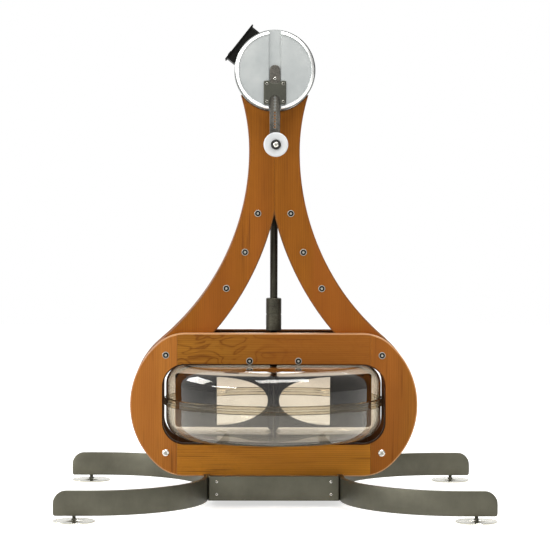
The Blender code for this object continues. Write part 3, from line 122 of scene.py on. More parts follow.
def fill_ramp(ramp: bpy.types.ColorRamp, stops: Sequence[tuple[float, str]]) -> None:
    """Give a colour ramp its stops.

    Args:
        ramp: the ramp, which has two stops at first.
        stops: place from 0 to 1 and hex colour of each stop.
    """
    while len(ramp.elements) < len(stops):
        ramp.elements.new(0.5)
    for element, (place, code) in zip(ramp.elements, stops):
        element.position = place
        element.color = linear(code)


# Shapes as arrays

def arc(centre: Sequence[float], radius: float, start: float, end: float, count: int) -> np.ndarray:
    """Points on a circle: centre plus radius times the cosine and sine of even angles.

    Args:
        centre: middle of the circle.
        radius: its radius.
        start: first angle, in radians from the first axis.
        end: last angle.
        count: number of points.

    Returns:
        Array of count by 2.
    """
    angles = np.linspace(start, end, count)
    return np.column_stack((centre[0] + radius * np.cos(angles), centre[1] + radius * np.sin(angles)))


def rounded_rectangle(low: Sequence[float], high: Sequence[float], radius: float,
                      count: int = 8) -> np.ndarray:
    """Anticlockwise outline of a rectangle with a quarter circle at each corner.

    Args:
        low: lower left corner.
        high: upper right corner.
        radius: corner radius.
        count: points in each corner.

    Returns:
        Array of four times count by 2.
    """
    left, right = low[0] + radius, high[0] - radius
    bottom, top = low[1] + radius, high[1] - radius
    return np.concatenate((
        arc((right, bottom), radius, -QUARTER, 0.0, count),
        arc((right, top), radius, 0.0, QUARTER, count),
        arc((left, top), radius, QUARTER, 2 * QUARTER, count),
        arc((left, bottom), radius, 2 * QUARTER, 3 * QUARTER, count),
    ))


def mirrored(curve: np.ndarray) -> np.ndarray:
    """The curve on the other side of X = 0, in reverse order."""
    return curve[::-1] * np.array((-1.0, 1.0))


def split_at(curve: np.ndarray, limit: float) -> tuple[np.ndarray, np.ndarray, np.ndarray]:
    """Split a curve that goes out past an upright line and comes back.

    The crossing points lie on straight lines between the neighbouring points.

    Args:
        curve: points that start and end short of the line.
        limit: the line's place on the first axis.

    Returns:
        The part before the line, the part beyond it and the part after it.
    """
    beyond = np.flatnonzero(curve[:, 0] > limit)
    first, last = beyond[0], beyond[-1]

    def crossing(near: np.ndarray, far: np.ndarray) -> np.ndarray:
        """The point between two others where the line is crossed."""
        share = (limit - near[0]) / (far[0] - near[0])
        return near + share * (far - near)

    leave = crossing(curve[first - 1], curve[first])
    enter = crossing(curve[last + 1], curve[last])
    before = np.vstack((curve[:first], leave))
    outside = np.vstack((leave, curve[beyond], enter))
    after = np.vstack((enter, curve[last + 1:]))
    return before, outside, after


@dataclass(frozen=True)
class Outline:
    """A closed anticlockwise loop, with a note for each edge whether it is rounded over.

    Attributes:
        points: the loop's corners.
        soft: for the edge after each corner, 1 where it is rounded and 0 where it is a seam.
    """

    points: np.ndarray
    soft: np.ndarray

    @staticmethod
    def of(*curves: np.ndarray, seam: bool = False) -> "Outline":
        """Join curves into a loop whose closing edges, between curves, are seams.

        Args:
            curves: pieces of the loop in order; one curve alone is rounded all round.
            seam: whether the closing edge of one curve alone is a seam after all.

        Returns:
            The loop, turned anticlockwise where it wasn't.
        """
        points = np.concatenate(curves)
        soft = np.ones(len(points))
        if seam or len(curves) > 1:
            ends = np.cumsum([len(curve) for curve in curves]) - 1
            soft[ends] = 0.0
        ahead = np.roll(points, -1, axis=0)
        area = np.sum(points[:, 0] * ahead[:, 1] - points[:, 1] * ahead[:, 0])
        if area < 0:
            points = points[::-1]
            soft = np.roll(soft[::-1], -1)
        return Outline(points, soft)

    def inset(self, distance: float) -> np.ndarray:
        """Move every rounded edge inwards; each corner goes to where its two edges then meet.

        A corner's shift s solves s . n = -distance for the outward normals n of the edges before
        and after it. Where both edges point the same way it moves along their common normal.

        Args:
            distance: how far in; a negative one moves the edges outwards.

        Returns:
            The moved corners.
        """
        ahead = np.roll(self.points, -1, axis=0) - self.points
        ahead = ahead / np.linalg.norm(ahead, axis=1, keepdims=True)
        after = np.column_stack((ahead[:, 1], -ahead[:, 0]))
        before = np.roll(after, 1, axis=0)
        move_after = distance * self.soft
        move_before = np.roll(move_after, 1)
        cross = before[:, 0] * after[:, 1] - before[:, 1] * after[:, 0]
        straight = np.abs(cross) < STRAIGHT
        divisor = np.where(straight, 1.0, cross)
        corner = np.column_stack((
            (move_after * before[:, 1] - move_before * after[:, 1]) / divisor,
            (move_before * after[:, 0] - move_after * before[:, 0]) / divisor,
        ))
        mean = (move_before + move_after) / 2 / (1.0 + np.sum(before * after, axis=1))
        along = -mean[:, None] * (before + after)
        return self.points + np.where(straight[:, None], along, corner)


@dataclass(frozen=True)
class Rounding:
    """How the long edges of a flat piece are broken.

    Attributes:
        radius: radius of the quarter circle.
        steps: faces across it.
        border: narrow flat strip inside it, so that the big flat face shades flat.
    """

    radius: float
    steps: int = 4
    border: float = 0.0005

    def rows(self, low: float, high: float) -> np.ndarray:
        """Inset and level of each row of points from the lower face to the upper one.

        A point at angle a of the quarter circle is inset by radius times (1 - sin a) and lies
        radius times (1 - cos a) from the face.

        Args:
            low: level of the lower face.
            high: level of the upper face.

        Returns:
            Array of rows by 2.
        """
        angles = np.linspace(0.0, QUARTER, self.steps + 1)
        inset = self.radius * (1.0 - np.sin(angles))
        rise = self.radius * (1.0 - np.cos(angles))
        inset = np.concatenate(([self.radius + self.border], inset))
        rise = np.concatenate(([0.0], rise))
        lower = np.column_stack((inset, low + rise))
        upper = np.column_stack((inset, high - rise))[::-1]
        return np.concatenate((lower, upper))


@dataclass(frozen=True)
class Placement:
    """A turn and a shift that carry points of a piece into the machine's frame."""

    turn: np.ndarray
    shift: tuple[float, float, float] = (0.0, 0.0, 0.0)

    def __call__(self, points: np.ndarray) -> np.ndarray:
        """The points, turned and shifted."""
        return points @ self.turn.T + np.array(self.shift)


UPRIGHT = np.eye(3)
FACING_FRONT = np.array(((1.0, 0.0, 0.0), (0.0, 0.0, -1.0), (0.0, 1.0, 0.0)))
ALONG_X = np.array(((0.0, 0.0, 1.0), (1.0, 0.0, 0.0), (0.0, 1.0, 0.0)))
HALF_TURN = np.diag((-1.0, -1.0, 1.0))


class Hand(Enum):
    """Left or right, as seen from the front."""

    LEFT = -1
    RIGHT = 1

    @property
    def label(self) -> str:
        """The word in a node's name."""
        return self.name.lower()


class Side(Enum):
    """Front or rear of the machine."""

    FRONT = "front"
    REAR = "rear"

    def place(self, place: Place) -> Place:
        """The same place on this side: the rear is half a turn about Z away from the front."""
        if self is Side.FRONT:
            return place
        return lambda points: place(points) @ HALF_TURN.T

    def facing(self, at: tuple[float, float, float] = (0.0, 0.0, 0.0)) -> Place:
        """The place on this side of a front piece whose local Z points out of the front face."""
        return self.place(Placement(FACING_FRONT, at))

    def hand(self, hand: Hand) -> Hand:
        """The hand that a front piece has once it is on this side."""
        return hand if self is Side.FRONT else Hand(-hand.value)


class Surface:
    """Points and faces of one piece under way.

    Attributes:
        coat: number of the finish that the faces added next will have.
    """

    def __init__(self) -> None:
        """Start with nothing."""
        self.points: list[np.ndarray] = []
        self.faces: list[list[int]] = []
        self.coats: list[int] = []
        self.count = 0
        self.coat = 0

    def add_points(self, points: np.ndarray) -> int:
        """Add points and return the number of the first one."""
        start = self.count
        flat = points.reshape(-1, 3)
        self.points.append(flat)
        self.count += len(flat)
        return start

    def add_faces(self, faces: Sequence[Sequence[int]]) -> None:
        """Add faces, with the present coat."""
        self.faces += faces
        self.coats += [self.coat] * len(faces)

    def recoat(self, before: int, after: int, low: Sequence[float], high: Sequence[float]) -> None:
        """Give the faces of one coat another one where they start inside a box.

        Args:
            before: the present coat.
            after: the new one.
            low: the box's lowest corner.
            high: its highest corner.
        """
        starts = np.concatenate(self.points)[[face[0] for face in self.faces]]
        inside = np.all((starts > low) & (starts < high), axis=1)
        coats = np.array(self.coats)
        self.coats = np.where(inside & (coats == before), after, coats).tolist()

    def add_grid(self, grid: np.ndarray, wrap: bool = True) -> None:
        """Add a grid of points with a four-sided face between each four neighbours.

        Args:
            grid: array of rows by columns by 3.
            wrap: whether the last column joins the first one.
        """
        rows, columns = grid.shape[:2]
        start = self.add_points(grid)
        number = start + np.arange(rows * columns).reshape(rows, columns)
        near = number if wrap else number[:, :-1]
        far = np.roll(number, -1, axis=1) if wrap else number[:, 1:]
        quads = np.stack((near[:-1], far[:-1], far[1:], near[1:]), axis=-1)
        self.add_faces(quads.reshape(-1, 4).tolist())

    def add_cap(self, loops: Sequence[np.ndarray], level: float, place: Place) -> None:
        """Fill a flat face that may have holes.

        Args:
            loops: the outer loop and the holes, each of points by 2.
            level: height of the face.
            place: where it goes.
        """
        flat = np.concatenate(loops)
        start = self.add_points(place(np.column_stack((flat, np.full(len(flat), level)))))
        lines = [[Vector((x, y, 0.0)) for x, y in loop.tolist()] for loop in loops]
        self.add_faces([[start + corner for corner in face] for face in tessellate_polygon(lines)])

    def add_slab(self, outline: Outline, low: float, high: float, rounding: Rounding,
                 place: Place, holes: Sequence[np.ndarray] = (), under: int = 0,
                 wall: int = 0) -> "Surface":
        """Add a flat piece: its walls follow the outline and holes, with broken edges.

        Args:
            outline: the piece's shape.
            low: level of its lower face.
            high: level of its upper face.
            rounding: how its edges are broken.
            place: where it goes.
            holes: anticlockwise loops that are open.
            under: coat of the lower face.
            wall: coat of the outer walls.

        Returns:
            The surface itself.
        """
        rows = rounding.rows(low, high)
        walls = [(outline, 1.0)] + [(Outline.of(hole), -1.0) for hole in holes]
        lower, upper = [], []
        for loop, sign in walls:
            rings = [loop.inset(sign * inset) for inset, _ in rows]
            levels = [np.full((len(ring), 1), level) for ring, (_, level) in zip(rings, rows)]
            grid = np.stack([np.hstack(pair) for pair in zip(rings, levels)])
            self.coat = wall if sign > 0 else 0
            self.add_grid(place(grid))
            lower.append(rings[0])
            upper.append(rings[-1])
        self.coat = under
        self.add_cap(lower, low, place)
        self.coat = 0
        self.add_cap(upper, high, place)
        return self

    def add_turned(self, profile: Sequence[Sequence[float]], sides: int, place: Place,
                   key: Sequence[int] = ()) -> "Surface":
        """Add a turned body: each profile point goes round the local Z axis.

        A row that a key fits is six-sided: its radius is the flat's distance over the cosine of
        the angle from the middle of the nearest flat.

        Args:
            profile: radius and height of each row; a closed body ends where it starts, or on
                the axis at both ends.
            sides: points in a full turn.
            place: where it goes.
            key: numbers of the six-sided rows.

        Returns:
            The surface itself.
        """
        rows = np.array(profile, float)
        angles = np.arange(sides) * (2 * math.pi / sides)
        radius = np.repeat(rows[:, :1], sides, axis=1)
        sixth = math.pi / 3
        flat = 1.0 / np.cos((angles % sixth) - sixth / 2)
        for row in key:
            radius[row] = radius[row] * flat
        grid = np.stack((
            radius * np.cos(angles),
            radius * np.sin(angles),
            np.repeat(rows[:, 1:], sides, axis=1),
        ), axis=-1)
        self.add_grid(place(grid))
        return self

    def mesh(self, name: str, crease: float) -> bpy.types.Mesh:
        """Make the mesh: weld it, turn its faces outwards and mark its sharp edges.

        Args:
            name: the mesh's name.
            crease: edges that turn by more than this angle, in degrees, stay sharp.

        Returns:
            The mesh.
        """
        mesh = bpy.data.meshes.new(name)
        mesh.from_pydata(np.concatenate(self.points), [], self.faces)
        mesh.polygons.foreach_set("material_index", self.coats)
        work = bmesh.new()
        work.from_mesh(mesh)
        bmesh.ops.remove_doubles(work, verts=work.verts, dist=WELD)
        bmesh.ops.dissolve_degenerate(work, edges=work.edges, dist=WELD)
        bmesh.ops.recalc_face_normals(work, faces=work.faces)
        work.to_mesh(mesh)
        work.free()
        mesh.shade_smooth()
        mesh.set_sharp_from_angle(angle=math.radians(crease))
        return mesh


# Finishes

@dataclass(frozen=True)
class Finish:
    """Base of every finish.

    Attributes:
        name: the material's name.
        slot: the record's material slot.
    """

    name: str
    slot: str

    def material(self) -> bpy.types.Material:
        """The finish's material, made when it is first asked for."""
        made = bpy.data.materials.get(self.name)
        if made is None:
            made = bpy.data.materials.new(self.name)
            made.use_nodes = True
            made.node_tree.nodes.clear()
            add = partial(add_node, made.node_tree)
            shader = add("BsdfPrincipled", "BSDF", **self.paint(add, add("TexCoord", "Object")))
            add("OutputMaterial", Surface=shader)
        return made

    def paint(self, add: Adder, place: Socket) -> dict[str, Socket | float]:
        """Add the finish's patterns; each finish has its own.

        Args:
            add: add_node for the material's tree.
            place: object coordinates in metres.

        Returns:
            Inputs of the Principled shader by name, with _ for a space.
        """
        raise NotImplementedError


@dataclass(frozen=True)
class TwoTone(Finish):
    """Base of the finishes whose colour lies between two tones.

    Attributes:
        pale: colour of the lighter places, such as early wood or worn steel.
        deep: colour of the darker ones.
    """

    pale: str
    deep: str

    def layer(self, add: Adder, tone: Socket, span: tuple[float, float], fine: Socket,
              gloss: tuple[float, float], relief: tuple[float, float],
              **more: float) -> dict[str, Socket | float]:
        """Colour by one pattern, roughness and relief by another.

        Args:
            add: add_node for the material's tree.
            tone: pattern of the colour.
            span: its values that give the deep and the pale colour.
            fine: pattern of the roughness and the relief.
            gloss: roughness where it is 0 and where it is 1.
            relief: strength of the relief and its depth in metres.
            more: further inputs of the shader.

        Returns:
            Inputs of the Principled shader by name, with _ for a space.
        """
        share = add("MapRange", "Result", Value=tone, From_Min=span[0], From_Max=span[1])
        return dict(
            Base_Color=add("ValToRGB", "Color", Fac=share, stops=((0.0, self.deep), (1.0, self.pale))),
            Roughness=add("MapRange", "Result", Value=fine, To_Min=gloss[0], To_Max=gloss[1]),
            Normal=add("Bump", "Normal", Height=fine, Strength=relief[0], Distance=relief[1]),
            **more,
        )


class Grain(Enum):
    """Way that a board's grain runs, as the turn that brings it upright."""

    UPRIGHT = (0.0, 0.0, 0.0)
    LEVEL = (0.0, QUARTER, 0.0)


@dataclass(frozen=True)
class OiledCherry(TwoTone):
    """Solid cherry, sanded and wiped with oil.

    The eye sees warm orange-brown boards with close growth lines, short pale fibre streaks,
    a few dark gum flecks, clouds of deeper colour and a low, even gloss. Growth rings are drawn
    5 mm apart and fibres about 2 mm wide, coarser than real ones, which would not show.

    Attributes:
        grain: way that the grain runs.
        heart: how far the tree's heart lies beside and behind the face, and a shift along it.
        figure: share of wavy, blistered figure, from 0 to 1, on the left of the face.
        sheen: level of the oil's gloss.
    """

    grain: Grain
    heart: tuple[float, float, float]
    figure: float = 0.0
    sheen: float = 0.12

    def paint(self, add: Adder, place: Socket) -> dict[str, Socket | float]:
        """Growth rings about the heart, fibres along the grain, clouds, figure and flecks.

        The wood's tone is the sum of the patterns, each times its share.
        """
        turned = add("Mapping", "Vector", Vector=place, Rotation=self.grain.value, Location=self.heart)
        drawn = add("Mapping", "Vector", Vector=turned, Scale=(1.0, 1.0, 0.07))
        streak = add("Mapping", "Vector", Vector=turned, Scale=(1.0, 1.0, 0.03))
        rings = add("TexWave", "Fac", wave_type="RINGS", rings_direction="Z", wave_profile="SAW",
                    Vector=drawn, Scale=62.0, Distortion=9.0, Detail=2.0, Detail_Scale=0.35,
                    Detail_Roughness=0.6)
        fibre = add("TexNoise", "Fac", Vector=streak, Scale=420.0, Detail=3.0, Roughness=0.6)
        cloud = add("TexNoise", "Fac", Vector=drawn, Scale=34.0, Detail=2.0, Roughness=0.5)
        sway = add("TexNoise", "Fac", Vector=drawn, Scale=16.0, Detail=3.0, Roughness=0.55)
        layers = [(fibre, 0.42), (cloud, 0.50), (sway, 0.34)]
        if self.figure:
            layers.append((self.blister(add, turned, place), -0.42 * self.figure))
        tone = add("Math", "Value", rings, 0.26, operation="MULTIPLY")
        for pattern, share in layers:
            tone = add("Math", "Value", pattern, share, tone, operation="MULTIPLY_ADD")
        inputs = self.layer(add, tone, (0.42, 1.12), fibre, (0.36, 0.54), (0.10, 0.0004),
                            IOR=1.47, Specular_IOR_Level=self.sheen)
        blushed = self.blush(add, drawn, place, inputs["Base_Color"])
        inputs["Base_Color"] = self.flecks(add, streak, blushed)
        return inputs

    def blister(self, add: Adder, turned: Socket, place: Socket) -> Socket:
        """Thin level lines of a slow noise, as in blistered wood, that fade out to the right.

        Args:
            add: add_node for the material's tree.
            turned: coordinates with the grain upright.
            place: coordinates as they are.

        Returns:
            The lines' socket, from 0 to 1.
        """
        squeezed = add("Mapping", "Vector", Vector=turned, Scale=(1.0, 1.0, 0.55))
        hills = add("TexNoise", "Fac", Vector=squeezed, Scale=17.0, Detail=1.6, Roughness=0.45,
                    Distortion=1.0)
        levels = add("Math", "Value", hills, 18.0, operation="MULTIPLY")
        waves = add("Math", "Value", levels, 1.0, operation="PINGPONG")
        lines = add("MapRange", "Result", Value=waves, From_Max=0.45, To_Min=1.0, To_Max=0.0)
        across = add("SeparateXYZ", "X", Vector=place)
        fade = add("MapRange", "Result", Value=across, From_Min=-0.10, From_Max=0.06,
                   To_Min=1.0, To_Max=0.22)
        return add("Math", "Value", lines, fade, operation="MULTIPLY")

    def blush(self, add: Adder, drawn: Socket, place: Socket, colour: Socket) -> Socket:
        """Redder bands 90 mm wide, where the heartwood shows; figured wood reddens to the right.

        Args:
            add: add_node for the material's tree.
            drawn: coordinates stretched a little along the grain.
            place: coordinates as they are.
            colour: the wood's colour without them.

        Returns:
            The colour with them.
        """
        slow = add("TexNoise", "Fac", Vector=drawn, Scale=11.0, Detail=1.0, Roughness=0.4)
        share = add("MapRange", "Result", Value=slow, From_Min=0.46, From_Max=0.66, To_Max=0.45)
        if self.figure > 0.5:
            across = add("SeparateXYZ", "X", Vector=place)
            drift = add("MapRange", "Result", Value=across, From_Min=-0.12, From_Max=0.04,
                        To_Min=0.06, To_Max=0.52)
            share = add("Math", "Value", share, drift, operation="MAXIMUM")
        return add("Mix", "Result", data_type="RGBA", Factor=share, A=colour, B=linear("#9C541E"))

    def flecks(self, add: Adder, streak: Socket, colour: Socket) -> Socket:
        """Thin dark gum lines along the grain, where a stretched noise is highest.

        Args:
            add: add_node for the material's tree.
            streak: coordinates stretched along the grain.
            colour: the wood's colour without them.

        Returns:
            The colour with the lines in it.
        """
        spots = add("TexNoise", "Fac", Vector=streak, Scale=190.0, Detail=1.0, Roughness=0.4)
        share = add("MapRange", "Result", Value=spots, From_Min=0.66, From_Max=0.78, To_Max=0.55)
        return add("Mix", "Result", data_type="RGBA", Factor=share, A=colour, B=linear("#6B3A14"))


@dataclass(frozen=True)
class ClearCoatedSteel(TwoTone):
    """Flat mild steel, wire-brushed and sealed with clear lacquer.

    The eye sees an olive-grey metal with soft clouds from the mill, faint upright brush lines
    and a broad sheen. Brush lines are drawn 2 mm apart, as finer ones would not show.
    """

    def paint(self, add: Adder, place: Socket) -> dict[str, Socket | float]:
        """Clouds for the colour, stretched noise for the brush lines."""
        clouds = add("TexNoise", "Fac", Vector=place, Scale=13.0, Detail=4.0, Roughness=0.6)
        drawn = add("Mapping", "Vector", Vector=place, Scale=(1.0, 1.0, 0.05))
        lines = add("TexNoise", "Fac", Vector=drawn, Scale=480.0, Detail=2.0, Roughness=0.6)
        mixed = add("Math", "Value", lines, 0.14, clouds, operation="MULTIPLY_ADD")
        return self.layer(add, mixed, (0.35, 0.80), lines, (0.39, 0.46), (0.03, 0.0002), Metallic=0.85)


@dataclass(frozen=True)
class BlastedSteel(TwoTone):
    """Machined steel, grit-blasted and blackened in oil.

    The eye sees a dark warm grey with a fine grainy sparkle and slightly worn, brighter spots.
    Grains are drawn about 1 mm wide; real grit marks of 0.1 mm would not show.

    Attributes:
        grain: width of a grain in metres.
    """

    grain: float = 0.0012

    def paint(self, add: Adder, place: Socket) -> dict[str, Socket | float]:
        """Fine noise for the grit, slow noise for the oil's tide marks."""
        grit = add("TexNoise", "Fac", Vector=place, Scale=0.5 / self.grain, Detail=3.0, Roughness=0.7)
        tide = add("TexNoise", "Fac", Vector=place, Scale=28.0, Detail=2.0, Roughness=0.5)
        mixed = add("Math", "Value", tide, 0.5, grit, operation="MULTIPLY_ADD")
        return self.layer(add, mixed, (0.55, 0.95), grit, (0.34, 0.56), (0.22, 0.0002), Metallic=0.80)


@dataclass(frozen=True)
class TurnedAluminium(TwoTone):
    """Cast aluminium, faced on a lathe and bead-blasted lightly.

    The eye sees a pale blue-grey satin face with faint rings about the axis and soft clouds.
    Rings are drawn 1.5 mm apart, coarser than a real lathe feed.
    """

    def paint(self, add: Adder, place: Socket) -> dict[str, Socket | float]:
        """Rings about the crank's axis, which lies along Y, and slow clouds."""
        centred = add("Mapping", "Vector", Vector=place, Location=(0.0, 0.0, -AXIS_Z))
        rings = add("TexWave", "Fac", wave_type="RINGS", rings_direction="Y", Vector=centred,
                    Scale=210.0, Distortion=0.8, Detail=1.0)
        clouds = add("TexNoise", "Fac", Vector=centred, Scale=19.0, Detail=3.0, Roughness=0.55)
        return self.layer(add, clouds, (0.32, 0.68), rings, (0.36, 0.46), (0.05, 0.0002), Metallic=0.90)


@dataclass(frozen=True)
class PlatedSteel(Finish):
    """Steel with bright nickel plating, polished.

    The eye sees a light warm mirror with fine rub marks and small dull fingerprints.

    Attributes:
        colour: colour of the plating.
        roughness: lowest roughness.
        wear: how much the rub marks darken it.
    """

    colour: str
    roughness: float = 0.12
    wear: float = 0.22

    def paint(self, add: Adder, place: Socket) -> dict[str, Socket | float]:
        """Smudges 11 mm across in the gloss, rub marks 1.4 mm across in the colour."""
        smudge = add("TexNoise", "Fac", Vector=place, Scale=90.0, Detail=3.0, Roughness=0.6)
        rub = add("TexNoise", "Fac", Vector=place, Scale=700.0, Detail=2.0, Roughness=0.7)
        return dict(
            Base_Color=add("Mix", "Result", data_type="RGBA", blend_type="MULTIPLY", Factor=self.wear,
                           A=linear(self.colour), B=rub),
            Roughness=add("MapRange", "Result", Value=smudge, To_Min=self.roughness,
                          To_Max=self.roughness + 0.22),
            Metallic=1.0,
        )


@dataclass(frozen=True)
class SmokedPolycarbonate(Finish):
    """Clear polycarbonate with a faint smoke tint, blow-moulded.

    The eye sees through it: a cream cast where two walls lie behind each other, bright lines at
    its rims, and a surface that ripples very slightly from the mould.

    Attributes:
        tint: colour that one wall gives to light.
        haze: share of light that a film on the wall scatters.
        edge: tint where water marks lie.
    """

    tint: str
    haze: float
    edge: str

    def paint(self, add: Adder, place: Socket) -> dict[str, Socket | float]:
        """Slow ripples in the surface, 60 mm long, and faint water marks in the gloss."""
        ripple = add("TexNoise", "Fac", Vector=place, Scale=16.0, Detail=1.0, Roughness=0.4)
        marks = add("TexNoise", "Fac", Vector=place, Scale=60.0, Detail=3.0, Roughness=0.6)
        return dict(
            Base_Color=add("Mix", "Result", data_type="RGBA", Factor=marks, A=linear(self.tint),
                           B=linear(self.edge)),
            Roughness=add("MapRange", "Result", Value=marks, From_Min=0.4, From_Max=0.8,
                          To_Min=0.005, To_Max=0.02),
            Normal=add("Bump", "Normal", Height=ripple, Strength=0.12, Distance=0.002),
            Transmission_Weight=1.0 - self.haze, IOR=1.40,
        )


@dataclass(frozen=True)
class MouldedPlastic(TwoTone):
    """Thermoplastic or rubber from a spark-eroded mould.

    The eye sees an even colour with a leathery fine texture, cell by cell, and slow changes of
    tone where the melt flowed. Cells are drawn coarse enough to show.

    Attributes:
        roughness: middle roughness.
        cell: width of a texture cell in metres.
        relief: strength of the texture's bump.
        sheen: level of the surface's gloss.
    """

    roughness: float
    cell: float = 0.0016
    relief: float = 0.12
    sheen: float = 0.30

    def paint(self, add: Adder, place: Socket) -> dict[str, Socket | float]:
        """Cells for the mould's texture and slow noise for the flow."""
        cells = add("TexVoronoi", "Distance", Vector=place, Scale=1.0 / self.cell)
        flow = add("TexNoise", "Fac", Vector=place, Scale=24.0, Detail=2.0, Roughness=0.5)
        share = add("Math", "Value", cells, 0.25, flow, operation="MULTIPLY_ADD")
        return dict(
            Base_Color=add("ValToRGB", "Color", Fac=share, stops=((0.3, self.deep), (0.8, self.pale))),
            Roughness=add("MapRange", "Result", Value=flow, To_Min=self.roughness - 0.08,
                          To_Max=self.roughness + 0.08),
            Normal=add("Bump", "Normal", Height=cells, Strength=self.relief, Distance=0.0002),
            IOR=1.49, Specular_IOR_Level=self.sheen,
        )


@dataclass(frozen=True)
class DisplayLens(Finish):
    """Hard-coated acrylic lens over a grey-green liquid crystal display, switched off.

    The eye sees a pale window with blank segment rows inside a black printed border.

    Attributes:
        middle: the lens's middle in the machine's frame.
        lean: the monitor's turn about Y.
        half_length: half of the clear window up the slope.
        half_width: half of it across.
    """

    middle: tuple[float, float, float]
    lean: float
    half_length: float
    half_width: float

    def paint(self, add: Adder, place: Socket) -> dict[str, Socket | float]:
        """A rectangle of display colour, crossed by faint rows, inside the black border."""
        level = add("Mapping", "Vector", vector_type="TEXTURE", Vector=place, Location=self.middle,
                    Rotation=(0.0, self.lean, 0.0))
        inside = []
        for axis, half in (("X", self.half_length), ("Y", self.half_width)):
            reach = add("Math", "Value", add("SeparateXYZ", axis, Vector=level), operation="ABSOLUTE")
            inside.append(add("Math", "Value", reach, half, operation="LESS_THAN"))
        window = add("Math", "Value", *inside, operation="MULTIPLY")
        rows = add("TexWave", "Fac", bands_direction="X", Vector=level, Scale=18.0)
        display = add("ValToRGB", "Color", Fac=rows, stops=((0.0, "#7E8A78"), (1.0, "#98A48F")))
        return dict(
            Base_Color=add("Mix", "Result", data_type="RGBA", Factor=window, A=linear("#101112"),
                           B=display),
            Roughness=0.08, Coat_Weight=0.6, Coat_Roughness=0.04,
        )


def make_piece(name: str, surface: Surface, finish: Finish, body: str,
               stands_for: Sequence[str] = (), crease: float = 32.0,
               more: Sequence[Finish] = ()) -> None:
    """Make an object of a surface, dress it and let it ride on its body.

    Args:
        name: the object's name.
        surface: its shape, in the machine's frame.
        finish: its finish.
        body: the body that it moves with.
        stands_for: CAD nodes that it replaces.
        crease: angle in degrees above which edges stay sharp.
        more: finishes of the surface's further coats.
    """
    item = bpy.data.objects.new(name, surface.mesh(name, crease))
    bpy.context.scene.collection.objects.link(item)
    for layer in (finish, *more):
        item.data.materials.append(layer.material())
    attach(item, body)
    if stands_for:
        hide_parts(*stands_for)
    LOG.info("%s: %d faces in %s", name, len(item.data.polygons), finish.name)


def dress_node(node: str, finish: Finish) -> None:
    """Give a CAD node that stays visible its finish."""
    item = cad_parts[node]
    item.data.materials.clear()
    item.data.materials.append(finish.material())
    LOG.info("%s keeps its solid, in %s", node, finish.name)


# Finishes of this machine

CHERRY_END_LEFT = ("#CA8238", "#A05E22")
CHERRY_END_RIGHT = ("#BE772B", "#8E561B")
CHERRY_TOP = ("#BE8028", "#7E4A12")
# The low rails are paler than the top ones: painted light against the tank's shadow on them.
CHERRY_LOW_PAINTED_LIGHT = ("#D99030", "#A86A1E")
CHERRY_TOWER = ("#B26C20", "#864C0E")
# Pale tones of the front boards' edges: a painted highlight along their rounding; their sheen is real
# gloss.
EDGE_HIGHLIGHT_TONES = ("#E2AC74", "#C08448")
EDGE_HEART = (0.1, 0.1, 0.2)
# Dark cherry for the panels' backs and window walls: painted shade between the panels and round the tank.
SHADED_CHERRY = OiledCherry(
    "dark_sealed_cherry", "cherry_wood", "#4C3018", "#32200E", Grain.LEVEL, (0.2, 0.1, 0.3),
)
HIGHLIT_EDGE_UPRIGHT = OiledCherry(
    "waxed_cherry_edge_upright", "cherry_wood", *EDGE_HIGHLIGHT_TONES, Grain.UPRIGHT, EDGE_HEART, 0.0, 0.5,
)
HIGHLIT_EDGE_LEVEL = OiledCherry(
    "waxed_cherry_edge_level", "cherry_wood", *EDGE_HIGHLIGHT_TONES, Grain.LEVEL, EDGE_HEART, 0.0, 0.5,
)
# Dark, dull edges of the rear boards: painted shade for the band seen behind the front top rail.
SHADED_EDGE_REAR = OiledCherry(
    "oiled_cherry_edge_level", "cherry_wood", "#84521F", "#5E3810", Grain.LEVEL, EDGE_HEART, 0.0, 0.1,
)
# Darker edges of the tower boards: painted shade, which keeps the notch between the legs dark.
SHADED_EDGE_TOWER = OiledCherry(
    "oiled_cherry_edge_upright", "cherry_wood", "#96602A", "#744614", Grain.UPRIGHT, EDGE_HEART, 0.0, 0.2,
)
STRIP_STEEL = ClearCoatedSteel("brushed_mild_steel_clear_lacquer", "coated_steel", "#646255", "#535146")
SHAFT_STEEL = BlastedSteel("oil_blackened_shaft_steel", "dark_steel", "#3C3A30", "#26241C")
SLEEVE_STEEL = BlastedSteel("machined_coupling_steel", "dark_steel", "#504E42", "#34322A", 0.0016)
ARM_STEEL = BlastedSteel("grit_blasted_arm_steel", "dark_steel", "#6E6A62", "#34322E")
CLAMP_STEEL = BlastedSteel("oil_blackened_clamp_steel", "dark_steel", "#54544A", "#40403A", 0.0009)
# Black oxide steel for the black heads; in the sockets of bright heads it is painted shade.
BLACK_OXIDE_AND_SOCKET_SHADE = BlastedSteel("black_oxide_screw_steel", "bright_steel", "#161513", "#080807", 0.0008)
BRIGHT_BOLT = PlatedSteel("bright_nickel_plated_steel", "bright_steel", "#EDEAE2")
# Dull zinc for washers, spacers and clamp screws; as sockets and hole rings it is painted light.
ZINC_AND_PAINTED_LIGHT = PlatedSteel("dull_zinc_plated_steel", "bright_steel", "#B4B1A6", 0.30)
FOOT_PLATE = PlatedSteel("polished_foot_plate_steel", "bright_steel", "#DAD7CA", 0.10)
# Facing leaves the drum satin and pale; its outer edges get a darker grey, painted shade, and the
# polished rim of each disc is a white mirror, blurred a little by fine scratches.
SATIN_CAST = TurnedAluminium("lathe_faced_cast_aluminium", "satin_aluminium", "#B8BBB9", "#A9ADAC")
SHADED_CAST_EDGE = TurnedAluminium("rough_turned_aluminium_edge", "satin_aluminium", "#7E807E", "#6E706E")
POLISHED_RIM = PlatedSteel("polished_cast_aluminium", "satin_aluminium", "#FFFFFC", 0.30, 0.06)
